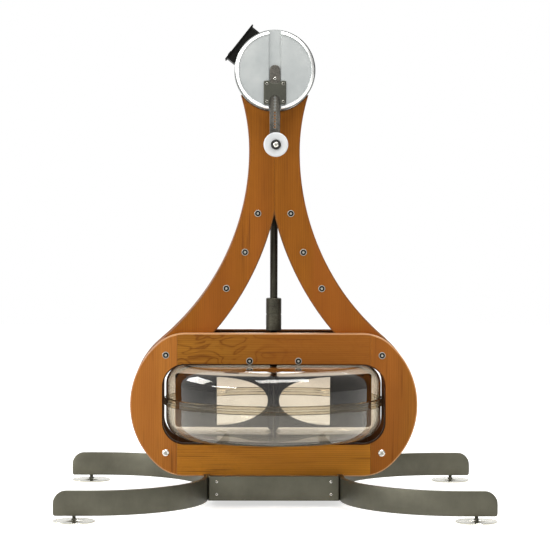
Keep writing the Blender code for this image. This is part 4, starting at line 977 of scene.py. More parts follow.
# Light that runs along inside the thick flange comes out brown; silicone is cloudy and grey.
CLEAR_SHELL = SmokedPolycarbonate("smoke_tinted_polycarbonate", "smoked_clear", "#E2DACE", 0.0, "#DCD4C8")
# The lower shell's pale scattering film is a painted reflection of the white floor, lightening its lower
# half.
FLOOR_VEILED_SHELL = SmokedPolycarbonate("water_marked_polycarbonate", "smoked_clear", "#E8E2D6", 0.08, "#E4DED2")
FLANGE_SHELL = SmokedPolycarbonate("thick_flange_polycarbonate", "smoked_clear", "#A89878", 0.06, "#9C8C6C")
SILICONE = SmokedPolycarbonate("smoke_grey_silicone", "black_rubber", "#CEC5B0", 0.06, "#C4BBA6")
PADDLE_PLASTIC = MouldedPlastic(
    "glass_filled_black_nylon", "dark_plastic", "#0C0B0A", "#060605", 0.55, sheen=0.06,
)
HOUSING_PLASTIC = MouldedPlastic(
    "moulded_black_abs", "dark_plastic", "#14130F", "#080807", 0.50, sheen=0.10,
)
GRIP_PLASTIC = MouldedPlastic(
    "moulded_white_nylon", "white_plastic", "#ECEDED", "#DFE2E4", 0.34, 0.0014, 0.05,
)
SEAL_RUBBER = MouldedPlastic("black_nitrile_rubber", "black_rubber", "#242321", "#121110", 0.62, 0.0010)


def both_faces(at: tuple[float, float]) -> tuple[Placement, Placement]:
    """Places at a point across and up whose local Z points out of the front and out of the rear."""
    shift = (at[0], 0.0, at[1])
    return Placement(FACING_FRONT, shift), Placement(HALF_TURN @ FACING_FRONT, shift)


@dataclass(frozen=True)
class Bolt:
    """Button-head screw with a six-sided key socket, on a washer.

    Attributes:
        radius: radius of the head.
        height: height of the crown over the seat.
        key: distance from the socket's middle to its flats.
        depth: depth of the socket.
        washer: radius of the washer, or 0 where there is none.
        washer_height: its thickness.
        flat: radius of the crown's flat middle, as a multiple of the key's distance.
        rim: share of the head's height that its upright rim takes.
        sides: points in a full turn.
    """

    radius: float
    height: float
    key: float
    depth: float
    washer: float = 0.0
    washer_height: float = 0.0008
    flat: float = 1.35
    rim: float = 0.3
    sides: int = 36

    def add_head(self, surface: Surface, seat: float, place: Place) -> Surface:
        """Add the head: a rim, a crown that curves like a quarter ellipse, and a coat 1 socket.

        Args:
            surface: takes the head.
            seat: level that it sits on.
            place: where it goes, with the local Z axis out of the seat.

        Returns:
            The surface itself.
        """
        foot = seat + (self.washer_height if self.washer else 0.0)
        crown = seat + self.height
        floor = crown - self.depth
        lip = self.key * self.flat
        angles = np.linspace(0.0, QUARTER, 6)
        ring = lip + (self.radius - lip) * np.cos(angles)
        level = foot + (crown - foot) * (self.rim + (1.0 - self.rim) * np.sin(angles))
        surface.add_turned([(0.0, foot), (self.radius, foot), *zip(ring, level)], self.sides, place)
        # The socket's coat is painted light: shade in a bright head, a glint in a black one.
        surface.coat = 1
        socket = ((lip, crown), (self.key, crown), (self.key, floor), (0.0, floor))
        surface.add_turned(socket, self.sides, place, key=(1, 2))
        surface.coat = 0
        return surface

    def add_rod(self, heads: Surface, washers: Surface, face: float, shank: float,
                at: tuple[float, float]) -> None:
        """Add a rod through the boards with a head, and a washer if it has one, on both faces.

        Args:
            heads: takes the rod and its heads.
            washers: takes the washers, flat rings with a broken outer edge.
            face: level of the boards' outer face.
            shank: the rod's radius.
            at: its place across and up.
        """
        front, rear = both_faces(at)
        top, edge = face + self.washer_height, self.washer_height / 3
        for place in (front, rear):
            self.add_head(heads, face, place)
            if self.washer:
                washers.add_turned((
                    (0.0, face), (self.washer, face), (self.washer, top - edge),
                    (self.washer - edge, top), (0.0, top),
                ), self.sides, place)
        heads.add_turned(((0.0, -face), (shank, -face), (shank, face), (0.0, face)), 20, front)


@dataclass(frozen=True)
class WoodenPanels:
    """Stadium-shaped front and rear panels, each glued up of two end boards and two rails."""

    face: float = 0.0750
    back: float = 0.0500
    low: float = 0.0665
    high: float = 0.4075
    half_width: float = 0.342
    end_radius: float = 0.194
    blend_radius: float = 0.100
    joint: float = 0.230
    joint_gap: float = 0.0003
    window_half_width: float = 0.2633
    window_low: float = 0.1445
    window_high: float = 0.3315
    window_corner: float = 0.052
    window_rim: float = 0.006
    notch_middle: float = 0.161
    notch_half: float = 0.0053
    notch_top: float = 0.0713
    rounding: Rounding = Rounding(0.0025, 5)

    def outer_curve(self) -> np.ndarray:
        """Right half of the outline, from the bottom's middle up to the top's middle.

        Straight bottom, blend arc, end arc, blend arc and straight top; neighbouring arcs share
        a tangent where the angle's sine is the blend's rise over the difference of the radii.

        Returns:
            The curve, of count by 2.
        """
        middle = (self.low + self.high) / 2
        end_x = self.half_width - self.end_radius
        rise = (self.high - self.low) / 2 - self.blend_radius
        reach = self.end_radius - self.blend_radius
        blend_x = end_x + math.sqrt(reach ** 2 - rise ** 2)
        meeting = math.atan2(rise, blend_x - end_x)
        return np.concatenate((
            [(0.0, self.low)],
            arc((blend_x, middle - rise), self.blend_radius, -QUARTER, -meeting, 14),
            arc((end_x, middle), self.end_radius, -meeting, meeting, 44)[1:-1],
            arc((blend_x, middle + rise), self.blend_radius, meeting, QUARTER, 14),
            [(0.0, self.high)],
        ))

    def window_curve(self) -> np.ndarray:
        """Right half of the window, from its lower edge's middle up to its upper edge's middle.

        Returns:
            The curve, of count by 2.
        """
        corner = self.window_corner
        side = self.window_half_width - corner
        return np.concatenate((
            [(0.0, self.window_low)],
            arc((side, self.window_low + corner), corner, -QUARTER, 0.0, 18),
            arc((side, self.window_high - corner), corner, 0.0, QUARTER, 18),
            [(0.0, self.window_high)],
        ))

    def parts(self, limit: float, number: int) -> tuple[np.ndarray, np.ndarray]:
        """Part of the outline and of the window that split_at numbers, for a line at a limit."""
        return split_at(self.outer_curve(), limit)[number], split_at(self.window_curve(), limit)[number]

    def end_board(self, hand: Hand) -> Outline:
        """Outline of the board beyond the joint on one hand.

        Args:
            hand: which hand.

        Returns:
            The outline.
        """
        outside, window = self.parts(self.joint + self.joint_gap, 1)
        scale = np.array((hand.value, 1.0))
        return Outline.of(outside * scale, window[::-1] * scale)

    def top_rail(self) -> Outline:
        """Outline of the rail over the window.

        Returns:
            The outline.
        """
        above, window = self.parts(self.joint, 2)
        top, under = (np.concatenate((part, mirrored(part)[1:])) for part in (above, window))
        return Outline.of(top, under[::-1])

    def low_rail(self) -> Outline:
        """Outline of the rail below the window, with slots over the two base strips.

        Returns:
            The outline.
        """
        below, window = self.parts(self.joint, 0)
        near = self.notch_middle - self.notch_half
        far = self.notch_middle + self.notch_half
        right = np.concatenate(([(far, self.low)], below[1:]))
        middle = np.array(((-near, self.low), (near, self.low)))
        slot_far = np.array(((far, self.notch_top),))
        slot_near = np.array(((near, self.notch_top),))
        sill = np.concatenate((mirrored(window), window[1:]))
        return Outline.of(
            mirrored(right), mirrored(slot_far), mirrored(slot_near), middle,
            slot_near, slot_far, right, sill[::-1],
        )

    def build(self) -> None:
        """Make the eight boards, each with a grain of its own."""
        for number, side in enumerate(Side):
            for hand in Hand:
                label = side.hand(hand).label
                tones = CHERRY_END_LEFT if hand is Hand.LEFT else CHERRY_END_RIGHT
                heart = (0.043 * hand.value + 0.01 * number, 0.115, 0.7 * hand.value)
                self.board(side, f"end_board_{label}", f"end_{label}", self.end_board(hand), tones,
                           Grain.UPRIGHT, heart)
            self.board(side, "top_rail_board", "rail_top", self.top_rail(), CHERRY_TOP,
                       Grain.LEVEL, (0.33 + 0.02 * number, 0.09, 0.41), 0.9)
            self.board(side, "low_rail_board", "rail_low", self.low_rail(), CHERRY_LOW_PAINTED_LIGHT,
                       Grain.LEVEL, (0.115 + 0.02 * number, 0.10, 0.13), 0.15)

    def board(self, side: Side, name: str, node: str, outline: Outline, tones: tuple[str, str],
              grain: Grain, heart: tuple[float, float, float], figure: float = 0.0) -> None:
        """Make one board; its back and window edge carry painted shade, its outer edge a coat of its own.

        Args:
            side: front or rear.
            name: the board's name after the side's.
            node: name of the CAD node that it replaces, after the panel's.
            outline: its shape as seen from the front.
            tones: its pale and its deep colour.
            grain: way that its grain runs.
            heart: place of the tree's heart.
            figure: share of blistered figure.
        """
        finish = OiledCherry(f"oiled_cherry_{side.value}_{node}", "cherry_wood", *tones, grain, heart,
                             figure)
        # Coat 1 on the back is the dark cherry: painted shade between the front and rear panels.
        surface = Surface().add_slab(outline, self.back, self.face, self.rounding, side.facing(),
                                     under=1, wall=2)
        # The window's walls take the dark cherry too: painted shade round the tank.
        reach, rim = self.window_half_width + self.window_rim, self.window_rim
        surface.recoat(2, 1, (-reach, -FAR, self.window_low - rim), (reach, FAR, self.window_high + rim))
        # The outer edge's coat: a painted highlight on the front boards, painted shade on the rear ones.
        edge = HIGHLIT_EDGE_UPRIGHT if grain is Grain.UPRIGHT else HIGHLIT_EDGE_LEVEL
        if side is Side.REAR:
            edge = SHADED_EDGE_REAR
        make_piece(f"{side.value}_{name}", surface, finish, "frame", (f"panel_{side.value}_{node}",),
                   more=(SHADED_CHERRY, edge))


@dataclass(frozen=True)
class WoodenTower:
    """Wishbone of two boards on each side, glued on the centre line under the drum."""

    back: float = 0.0250
    face: float = 0.0497
    saddle_radius: float = 0.0966
    horn_z: float = 0.9725
    waist_z: float = 0.8395
    waist_half_width: float = 0.060
    flare_radius: float = 0.450
    leg_outer_radius: float = 0.587
    leg_width: float = 0.077
    leg_arc_end: float = 0.3895
    foot_blend_z: float = 0.3545
    foot_z: float = 0.3402
    end_centre: tuple[float, float] = (0.148, 0.2370)
    end_radius: float = 0.194
    glue_x: float = 0.00015
    rounding: Rounding = Rounding(0.0025, 5)

    def outline(self, hand: Hand) -> Outline:
        """Saddle, horn, flare, waist, leg, foot, inner leg and glue line of one board.

        All curves but the glue line are arcs about the drum's axis, the flare's centre, the
        leg's centre and the panel's end centre.

        Args:
            hand: which of the two boards.

        Returns:
            The board's outline, with the glue line as a seam.
        """
        saddle, flare = self.saddle_radius, self.flare_radius
        leg, end = self.leg_outer_radius, self.end_radius
        centre = (self.waist_half_width + leg, self.waist_z)
        wide = leg + self.leg_width
        curve = np.concatenate((
            arc((0.0, AXIS_Z), saddle, -math.acos(self.glue_x / saddle),
                math.asin((self.horn_z - AXIS_Z) / saddle), 24),
            arc((self.waist_half_width + flare, self.waist_z), flare,
                math.pi - math.asin((self.horn_z - self.waist_z) / flare), math.pi, 14),
            arc(centre, leg, math.pi,
                math.pi + math.asin((self.waist_z - self.leg_arc_end) / leg), 48)[1:],
            arc(self.end_centre, end, math.asin((self.foot_blend_z - self.end_centre[1]) / end),
                math.asin((self.foot_z - self.end_centre[1]) / end), 4),
            arc(centre, wide, math.pi + math.asin((self.waist_z - self.foot_z) / wide),
                math.pi + math.acos((centre[0] - self.glue_x) / wide), 48),
        ))
        return Outline.of(curve * np.array((hand.value, 1.0)), seam=True)

    def build(self) -> None:
        """Make the four boards."""
        for number, side in enumerate(Side):
            for hand in Hand:
                label = side.hand(hand).label
                finish = OiledCherry(
                    f"oiled_cherry_{side.value}_tower_{label}", "cherry_wood", *CHERRY_TOWER,
                    Grain.UPRIGHT, (0.052 * hand.value + 0.006, 0.09 + 0.01 * number, 0.37 * hand.value),
                )
                # The walls take the darker edge coat: painted shade.
                surface = Surface().add_slab(self.outline(hand), self.back, self.face, self.rounding,
                                             side.facing(), wall=1)
                make_piece(f"{side.value}_tower_board_{label}", surface, finish, "frame",
                           (f"tower_{side.value}_{label}",), more=(SHADED_EDGE_TOWER,))


@dataclass(frozen=True)
class TieBolts:
    """Bolts through the boards, with washers, and spacer tubes between front and rear."""

    shank: float = 0.004
    spacer: float = 0.009
    spacer_edge: float = 0.001
    leg_face: float = 0.0500
    panel_face: float = 0.0753
    tower_spacer: float = 0.0247
    panel_spacer: float = 0.0497
    leg_places: tuple[tuple[float, float], ...] = (
        (0.0393, 0.6914), (0.0695, 0.5991), (0.1137, 0.5127),
    )
    corner_x: float = 0.257
    corner_high: float = 0.3551
    corner_low: float = 0.1225
    dark: Bolt = Bolt(0.0066, 0.0034, 0.0021, 0.0016, 0.0082)
    bright: Bolt = Bolt(0.0085, 0.0034, 0.0026, 0.0020)

    def build(self) -> None:
        """Make the six rods of the legs and the four of the panels' corners."""
        for hand in Hand:
            label = hand.label
            for number, (across, up) in enumerate(self.leg_places, start=1):
                self.rod("leg", f"{label}_{number}", (hand.value * across, up), self.leg_face,
                         self.tower_spacer, self.dark)
            across = hand.value * self.corner_x
            self.rod("corner", f"high_{label}", (across, self.corner_high), self.panel_face,
                     self.tower_spacer, self.dark)
            self.rod("corner", f"low_{label}", (across, self.corner_low), self.panel_face,
                     self.panel_spacer, self.bright)

    def rod(self, family: str, label: str, at: tuple[float, float], face: float, spacer: float,
            bolt: Bolt) -> None:
        """Make one rod with a head on both faces, and its tube and washers.

        Args:
            family: first word of its name.
            label: last words of its name.
            at: its place across and up.
            face: level of the boards' outer face.
            spacer: half length of the tube.
            bolt: kind of head.
        """
        heads, tube = Surface(), Surface()
        bolt.add_rod(heads, tube, face, self.shank, at)
        bore, wide, edge = self.shank, self.spacer, self.spacer_edge
        tube.add_turned((
            (bore, -spacer), (wide - edge, -spacer), (wide, edge - spacer), (wide, spacer - edge),
            (wide - edge, spacer), (bore, spacer), (bore, -spacer),
        ), 32, both_faces(at)[0])
        finish = BLACK_OXIDE_AND_SOCKET_SHADE if bolt is self.dark else BRIGHT_BOLT
        name = f"{family}_bolt_{label}"
        # Coat 1, the sockets, is zinc: a painted glint in the black heads, painted shade in the bright
        # ones.
        make_piece(name, heads, finish, "frame", (f"{family}_tie_{label}",), more=(ZINC_AND_PAINTED_LIGHT,))
        make_piece(name + "_spacer", tube, ZINC_AND_PAINTED_LIGHT, "frame")


@dataclass(frozen=True)
class SteelBase:
    """Two bent flat strips, two cross plates with their bolts, and four levelling feet."""

    low: float = 0.0135
    high: float = 0.0710
    half: float = 0.005
    straight_x: float = 0.161
    straight_y: float = 0.100
    bend: float = 0.270
    reach: float = 0.505
    top_corner: float = 0.030
    low_corner: float = 0.006
    edge: float = 0.0010
    plate_y: float = 0.120
    plate_thickness: float = 0.005
    plate_x: float = 0.1557
    plate_flange: float = 0.040
    plate_low: float = 0.0139
    plate_high: float = 0.0721
    plate_bend: float = 0.004
    bolt_x: float = 0.1353
    bolt_levels: tuple[float, float] = (0.0296, 0.0592)
    bolt: Bolt = Bolt(0.0034, 0.0020, 0.0013, 0.0009)
    foot_x: float = 0.457
    pad_radius: float = 0.048

    def strip_path(self) -> tuple[np.ndarray, np.ndarray]:
        """Middle line of the right strip and its sideways directions, seen from above.

        A tail along X, a quarter circle about a centre beyond the straight part, and their
        mirror images. Towards the end the tail's points follow the sine of even angles, which
        gives the end's round corner even faces.

        Returns:
            Points and directions, both of count by 2.
        """
        centre = (self.straight_x + self.bend, -self.straight_y)
        corner = self.reach - self.top_corner + self.top_corner * np.sin(np.linspace(QUARTER, 0.0, 15))
        along = np.concatenate(([self.reach], corner[:1] - self.edge, corner[1:]))
        tail = np.column_stack((along, np.full(len(along), centre[1] - self.bend)))
        bend = arc(centre, self.bend, -QUARTER, -2 * QUARTER, 56)
        down = np.tile((0.0, -1.0), (len(tail), 1))
        out = np.concatenate((down, (bend - np.array(centre)) / self.bend))
        half = np.concatenate((tail, bend))
        flip = np.array((1.0, -1.0))
        return np.concatenate((half, half[::-1] * flip)), np.concatenate((out, out[::-1] * flip))

    def strip(self, side: Side) -> Surface:
        """Sweep of a rounded bar section whose top and bottom follow the end's round corners.

        At place x the corner of radius r takes r - sqrt(r^2 - (x - start)^2) off the height.

        Args:
            side: front or rear.

        Returns:
            The strip's surface.
        """
        path, out = self.strip_path()
        drop_top, drop_low = (
            radius - np.sqrt(radius ** 2 - np.clip(path[:, 0] - (self.reach - radius), 0.0, radius) ** 2)
            for radius in (self.top_corner, self.low_corner)
        )
        trim = np.where(path[:, 0] > self.reach - self.edge / 2, self.edge, 0.0)
        loop = rounded_rectangle((-self.half, 0.0), (self.half, 1.0), self.edge, 4)
        spread = loop[:, 0] * (1.0 - trim / self.half)[:, None]
        upper = (self.high - drop_top - trim)[:, None] - (1.0 - loop[:, 1])
        lower = (self.low + drop_low + trim)[:, None] + loop[:, 1]
        grid = np.stack((
            path[:, :1] + out[:, :1] * spread,
            path[:, 1:] + out[:, 1:] * spread,
            np.where(loop[:, 1] > 0.5, upper, lower),
        ), axis=-1)
        place = side.place(Placement(UPRIGHT))
        surface = Surface()
        surface.add_grid(place(grid))
        for row in (0, -1):
            start = surface.add_points(place(grid[row]))
            surface.add_faces([list(range(start, start + len(loop)))])
        return surface

    def cross_plate(self) -> Outline:
        """Plate seen from above: a front with two bends and two flanges that run back.

        Returns:
            The outline.
        """
        face, bend = -self.plate_y, self.plate_bend
        inner, back = self.plate_x - self.plate_thickness, face + self.plate_thickness
        end = face + self.plate_flange
        right = np.concatenate((
            arc((self.plate_x - bend, face + bend), bend, -QUARTER, 0.0, 7),
            ((self.plate_x, end), (inner, end), (inner, back)),
        ))
        return Outline.of(np.concatenate((right, mirrored(right))))

    def build(self) -> None:
        """Make strips, plates, bolts and feet, and dress the tray."""
        for side in Side:
            label = side.hand(Hand.RIGHT).label
            make_piece(f"bent_strip_{label}", self.strip(side), STRIP_STEEL, "frame",
                       (f"base_strip_{label}",), 40.0)
            plate = Surface().add_slab(self.cross_plate(), self.plate_low, self.plate_high,
                                       Rounding(0.0008, 3), side.place(Placement(UPRIGHT)))
            make_piece(f"cross_plate_{side.value}", plate, STRIP_STEEL, "frame",
                       (f"base_cross_plate_{side.value}",))
            heads = Surface()
            for hand in Hand:
                for level in self.bolt_levels:
                    at = (hand.value * self.bolt_x, 0.0, level)
                    self.bolt.add_head(heads, self.plate_y, side.facing(at))
            # Coat 1 is the sockets in black: painted shade in their recesses.
            make_piece(f"plate_bolts_{side.value}", heads, BRIGHT_BOLT, "frame", more=(BLACK_OXIDE_AND_SOCKET_SHADE,))
            for hand in Hand:
                self.foot(side, hand)
        dress_node("base_tray", STRIP_STEEL)

    def foot(self, side: Side, hand: Hand) -> None:
        """Make one foot: a thin dished plate with turned grooves, and its stem.

        Args:
            side: front or rear.
            hand: where its front twin stands.
        """
        at = (hand.value * self.foot_x, -self.straight_y - self.bend, 0.0)
        place = side.place(Placement(UPRIGHT, at))
        rim = self.pad_radius
        plate = Surface().add_turned((
            (0.0, 0.0), (rim - 0.0008, 0.0), (rim, 0.0008), (rim, 0.0020), (rim - 0.0006, 0.0026),
            (rim - 0.0030, 0.0026), (rim - 0.0034, 0.0023), (rim - 0.0044, 0.0024), (0.030, 0.0031),
            (0.029, 0.0030), (0.028, 0.0032), (0.0105, 0.0042), (0.0100, 0.0045), (0.0, 0.0045),
        ), 96, place)
        stem = Surface().add_turned((
            (0.0, 0.0046), (0.0070, 0.0046), (0.0068, 0.0052), (0.0044, 0.0075), (0.0040, 0.0085),
            (0.0040, 0.0130), (0.0030, 0.0132), (0.0030, 0.0312), (0.0, 0.0312),
        ), 32, place)
        label = f"{side.value}_{side.hand(hand).label}"
        make_piece(f"foot_plate_{label}", plate, FOOT_PLATE, f"pad_{label}", (f"foot_{label}",))
        make_piece(f"foot_stem_{label}", stem, SHAFT_STEEL, f"pad_{label}")


@dataclass(frozen=True)
class WaterTank:
    """Two flanged clear shells with a seal between them, fill plug, cradle, bridge and bush."""

    low: float = 0.1525
    high: float = 0.3295
    seam: float = 0.2410
    body: float = 0.258
    corner: float = 0.048
    wall: float = 0.004
    floor: float = 0.0126
    flange: float = 0.262
    flange_thickness: float = 0.0065
    flange_start: float = 0.0025
    lip: float = 0.0008
    seal_half: float = 0.0022
    bulge: float = 0.0006
    neck: float = 0.020
    neck_top: float = 0.3445
    bore: float = 0.0083
    pin_bore: float = 0.0063
    pivot_floor: float = 0.1605
    pivot_top: float = 0.1685
    boss: float = 0.016
    plug_at: tuple[float, float] = (-0.100, 0.150)
    plug_hole: float = 0.018
    bridge_half: float = 0.090
    bridge_low: float = 0.3350
    bridge_top: float = 0.3885
    bridge_y: float = 0.0497
    bridge_bend: float = 0.005
    sheet: float = 0.004
    stud_x: float = 0.058
    stud_z: float = 0.3415
    clearance: float = 0.0003
    sides: int = 160

    def shoulder(self) -> tuple[Profile, Profile, Profile]:
        """Corner from the top's edge down to the flange, the flange, and the inside back up.

        Corner points lie on two quarter circles about one centre, a wall's thickness apart.

        Returns:
            The three profiles.
        """
        centre = (self.body - self.corner, self.high - self.corner)
        start, lip = self.seam + self.flange_start, self.lip
        top = start + self.flange_thickness
        outer = arc(centre, self.corner, QUARTER, 0.0, 18).tolist()
        inner = arc(centre, self.corner - self.wall, 0.0, QUARTER, 14).tolist()
        flange = [
            (self.body, top + 0.0015), (self.body + 0.0015, top), (self.flange - lip, top),
            (self.flange, top - lip), (self.flange, start + lip), (self.flange - lip, start),
            (self.body - self.wall, start),
        ]
        return outer, flange, inner

    def shell(self, before: Profile, flange: Profile, after: Profile) -> Surface:
        """Turn a shell whose flange has a coat of its own.

        Args:
            before: profile up to the flange.
            flange: the flange's profile.
            after: profile beyond the flange.

        Returns:
            The shell's surface.
        """
        surface = Surface()
        parts = (before + flange[:1], flange, flange[-1:] + after)
        for coat, profile in zip((0, 1, 0), parts):
            surface.coat = coat
            surface.add_turned(profile, self.sides, Placement(UPRIGHT))
        return surface

    def upper_shell(self) -> Surface:
        """The upper shell, with its neck.

        Returns:
            The shell's surface.
        """
        outer, flange, inner = self.shoulder()
        neck = [
            (self.bore, self.neck_top), (self.neck - 0.001, self.neck_top),
            (self.neck, self.neck_top - 0.001), (self.neck, self.high + 0.002),
            (self.neck + 0.002, self.high),
        ]
        closing = [(self.bore, self.high - self.wall), (self.bore, self.neck_top)]
        return self.shell(neck + outer, flange, inner + closing)

    def lower_shell(self) -> Surface:
        """The lower shell, upside down from the upper one, with a thick floor and a pivot boss.

        Returns:
            The shell's surface.
        """
        outer, flange, inner = (
            [(radius, 2 * self.seam - level) for radius, level in part] for part in self.shoulder()
        )
        floor = self.low + self.floor
        pivot = [
            (self.boss, floor), (self.boss, self.pivot_top), (self.pin_bore, self.pivot_top),
            (self.pin_bore, self.pivot_floor), (0.0, self.pivot_floor),
        ]
        inside = [(radius, max(level, floor)) for radius, level in inner]
        return self.shell([(0.0, self.low)] + outer, flange, inside + pivot)

    def build(self) -> None:
        """Make the shells, seal and plug, and the sheet parts round them."""
        shells = (("upper", self.upper_shell(), CLEAR_SHELL), ("lower", self.lower_shell(), FLOOR_VEILED_SHELL))
        for word, shell, finish in shells:
            make_piece(f"clear_{word}_shell", shell, finish, "frame", (f"tank_{word}_shell",),
                       more=(FLANGE_SHELL,))
        inner, outer = self.body - self.wall + self.clearance, self.flange - self.clearance
        low, high, bulge = self.seam - self.seal_half, self.seam + self.seal_half, self.bulge
        seal = Surface().add_turned((
            (inner, low), (outer - bulge, low), (outer, low + bulge), (outer, high - bulge),
            (outer - bulge, high), (inner, high), (inner, low),
        ), self.sides, Placement(UPRIGHT))
        make_piece("flange_seal", seal, SILICONE, "frame", ("tank_seal",))
        self.plug()
        self.bridge()
        dress_node("tank_cradle", STRIP_STEEL)
        dress_node("lower_shaft_bush", SHAFT_STEEL)

    def plug(self) -> None:
        """Make the fill plug: a rimmed disc with a thumb hollow and a sealing body."""
        body = self.plug_hole - self.clearance
        surface = Surface().add_turned((
            (0.0, -0.010), (body - 0.001, -0.010), (body, -0.009), (body, 0.0003), (0.0230, 0.0003),
            (0.0230, 0.0038), (0.0226, 0.0046), (0.0218, 0.0050), (0.0150, 0.0050), (0.0135, 0.0045),
            (0.0120, 0.0032), (0.0060, 0.0024), (0.0, 0.0022),
        ), 64, Placement(UPRIGHT, (*self.plug_at, self.high)))
        make_piece("fill_plug", surface, SEAL_RUBBER, "plug", ("tank_fill_plug",))

    def bridge(self) -> None:
        """Make the channel between the top rails, with its two studs and their heads."""
        outer, inner, bend = self.bridge_y, self.bridge_y - self.sheet, self.bridge_bend
        roof = arc((outer - bend, self.bridge_top - bend), bend, 0.0, QUARTER, 7)
        right = np.concatenate((((outer, self.bridge_low),), roof))
        inside = np.array(((inner, self.bridge_top - self.sheet), (inner, self.bridge_low)))
        loop = np.concatenate((right, mirrored(right), mirrored(inside), inside))
        channel = Surface().add_slab(Outline.of(loop), -self.bridge_half, self.bridge_half,
                                     Rounding(0.0006, 2), Placement(ALONG_X))
        make_piece("bearing_channel", channel, STRIP_STEEL, "frame", ("bearing_bridge",))
        heads, washers, ties = Surface(), Surface(), TieBolts()
        for hand in Hand:
            at = (hand.value * self.stud_x, self.stud_z)
            ties.dark.add_rod(heads, washers, ties.panel_face, ties.shank, at)
        # The studs' sockets are zinc: a painted glint in the black heads.
        make_piece("channel_studs", heads, BLACK_OXIDE_AND_SOCKET_SHADE, "frame", more=(ZINC_AND_PAINTED_LIGHT,))
        make_piece("channel_stud_washers", washers, ZINC_AND_PAINTED_LIGHT, "frame")


@dataclass(frozen=True)
class PaddleRotor:
    """Crossed paddle in the tank, coupling sleeve, drive shaft and bevel pinion."""

    half_length: float = 0.236
    half_height: float = 0.066
    corner: float = 0.008
    middle: float = 0.241
    half_thickness: float = 0.002
    hub: float = 0.0135
    window_outer: float = 0.136
    window_half_height: float = 0.061
    shaft: float = 0.008
    pin: float = 0.006
    pivot_floor: float = 0.1608
    pivot_top: float = 0.1688
    meeting: float = 0.4395
    drive: float = 0.009
    stub: float = 0.007
    stub_length: float = 0.0207
    sleeve: float = 0.0185
    sleeve_low: float = 0.4095
    sleeve_high: float = 0.4875
    groove: float = 0.4485
    groove_half: float = 0.0010
    groove_depth: float = 0.0007
    hub_slope: float = 0.004
    screw_inset: float = 0.018
    screw: Bolt = Bolt(0.0030, 0.0006, 0.0014, 0.0012)
    clearance: float = 0.0003

    def window(self, hand: Hand) -> np.ndarray:
        """Half an ellipse: centre on the straight side, its tip at the hub.

        Args:
            hand: side of the hub.

        Returns:
            The window's loop, anticlockwise.
        """
        angles = np.linspace(QUARTER, 3 * QUARTER, 33)
        reach = self.window_outer - self.hub
        across = self.window_outer + reach * np.cos(angles)
        up = self.middle + self.window_half_height * np.sin(angles)
        loop = np.column_stack((across * hand.value, up))
        return loop if hand is Hand.RIGHT else loop[::-1]

    def build(self) -> None:
        """Make the paddle, the sleeve and the shaft, and dress the pinion."""
        low, high = self.middle - self.half_height, self.middle + self.half_height
        across = self.half_length
        outline = Outline.of(rounded_rectangle((-across, low), (across, high), self.corner))
        holes = [self.window(hand) for hand in Hand]
        paddle = Surface()
        for turn in (FACING_FRONT, ALONG_X):
            paddle.add_slab(outline, -self.half_thickness, self.half_thickness, Rounding(0.0008, 3),
                            Placement(turn), holes)
        hub_low, hub_high, end = low - self.clearance, high + self.clearance, self.meeting - self.clearance
        paddle.add_turned((
            (0.0, self.pivot_floor), (self.pin, self.pivot_floor), (self.pin, self.pivot_top),
            (self.pin * 1.5, self.pivot_top), (self.hub, hub_low), (self.hub, hub_high),
            (self.shaft, hub_high + self.hub_slope), (self.shaft, end), (0.0, end),
        ), 48, Placement(UPRIGHT))
        make_piece("crossed_paddle", paddle, PADDLE_PLASTIC, "rotor", ("paddle",))
        self.couple()
        dress_node("shaft_bevel_pinion", BRIGHT_BOLT)

    def couple(self) -> None:
        """Make the drive shaft and the sleeve that clamps it to the paddle's shaft."""
        upright = Placement(UPRIGHT)
        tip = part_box("drive_shaft")[1].z
        shoulder, bevel = tip - self.stub_length, 0.0006
        shaft = Surface().add_turned((
            (0.0, self.meeting), (self.drive, self.meeting), (self.drive, shoulder - bevel),
            (self.drive - bevel, shoulder), (self.stub, shoulder), (self.stub, tip), (0.0, tip),
        ), 48, upright)
        make_piece("upright_drive_shaft", shaft, SHAFT_STEEL, "rotor", ("drive_shaft",))
        low, high, rim = self.sleeve_low, self.sleeve_high, self.sleeve
        wide, narrow, step = self.drive + self.clearance, self.shaft + self.clearance, self.meeting - 0.0006
        above, below = self.groove + self.groove_half, self.groove - self.groove_half
        depth = self.groove_depth
        sleeve = Surface().add_turned((
            (wide, high), (rim - 0.0020, high), (rim, high - 0.0020), (rim, above + depth),
            (rim - depth, above), (rim - depth, below), (rim, below - depth), (rim, low + 0.0014),
            (rim - 0.0014, low), (narrow, low), (narrow, step), (wide, step), (wide, high),
        ), 72, upright)
        for turn in (FACING_FRONT, HALF_TURN @ FACING_FRONT):
            for level in (low + self.screw_inset, high - self.screw_inset):
                self.screw.add_head(sleeve, rim - 0.0006, Placement(turn, (0.0, 0.0, level)))
        # The set screws' sockets are black: painted shade in their recesses.
        make_piece("shaft_coupling_sleeve", sleeve, SLEEVE_STEEL, "rotor", ("coupling_sleeve",),
                   more=(BLACK_OXIDE_AND_SOCKET_SHADE,))


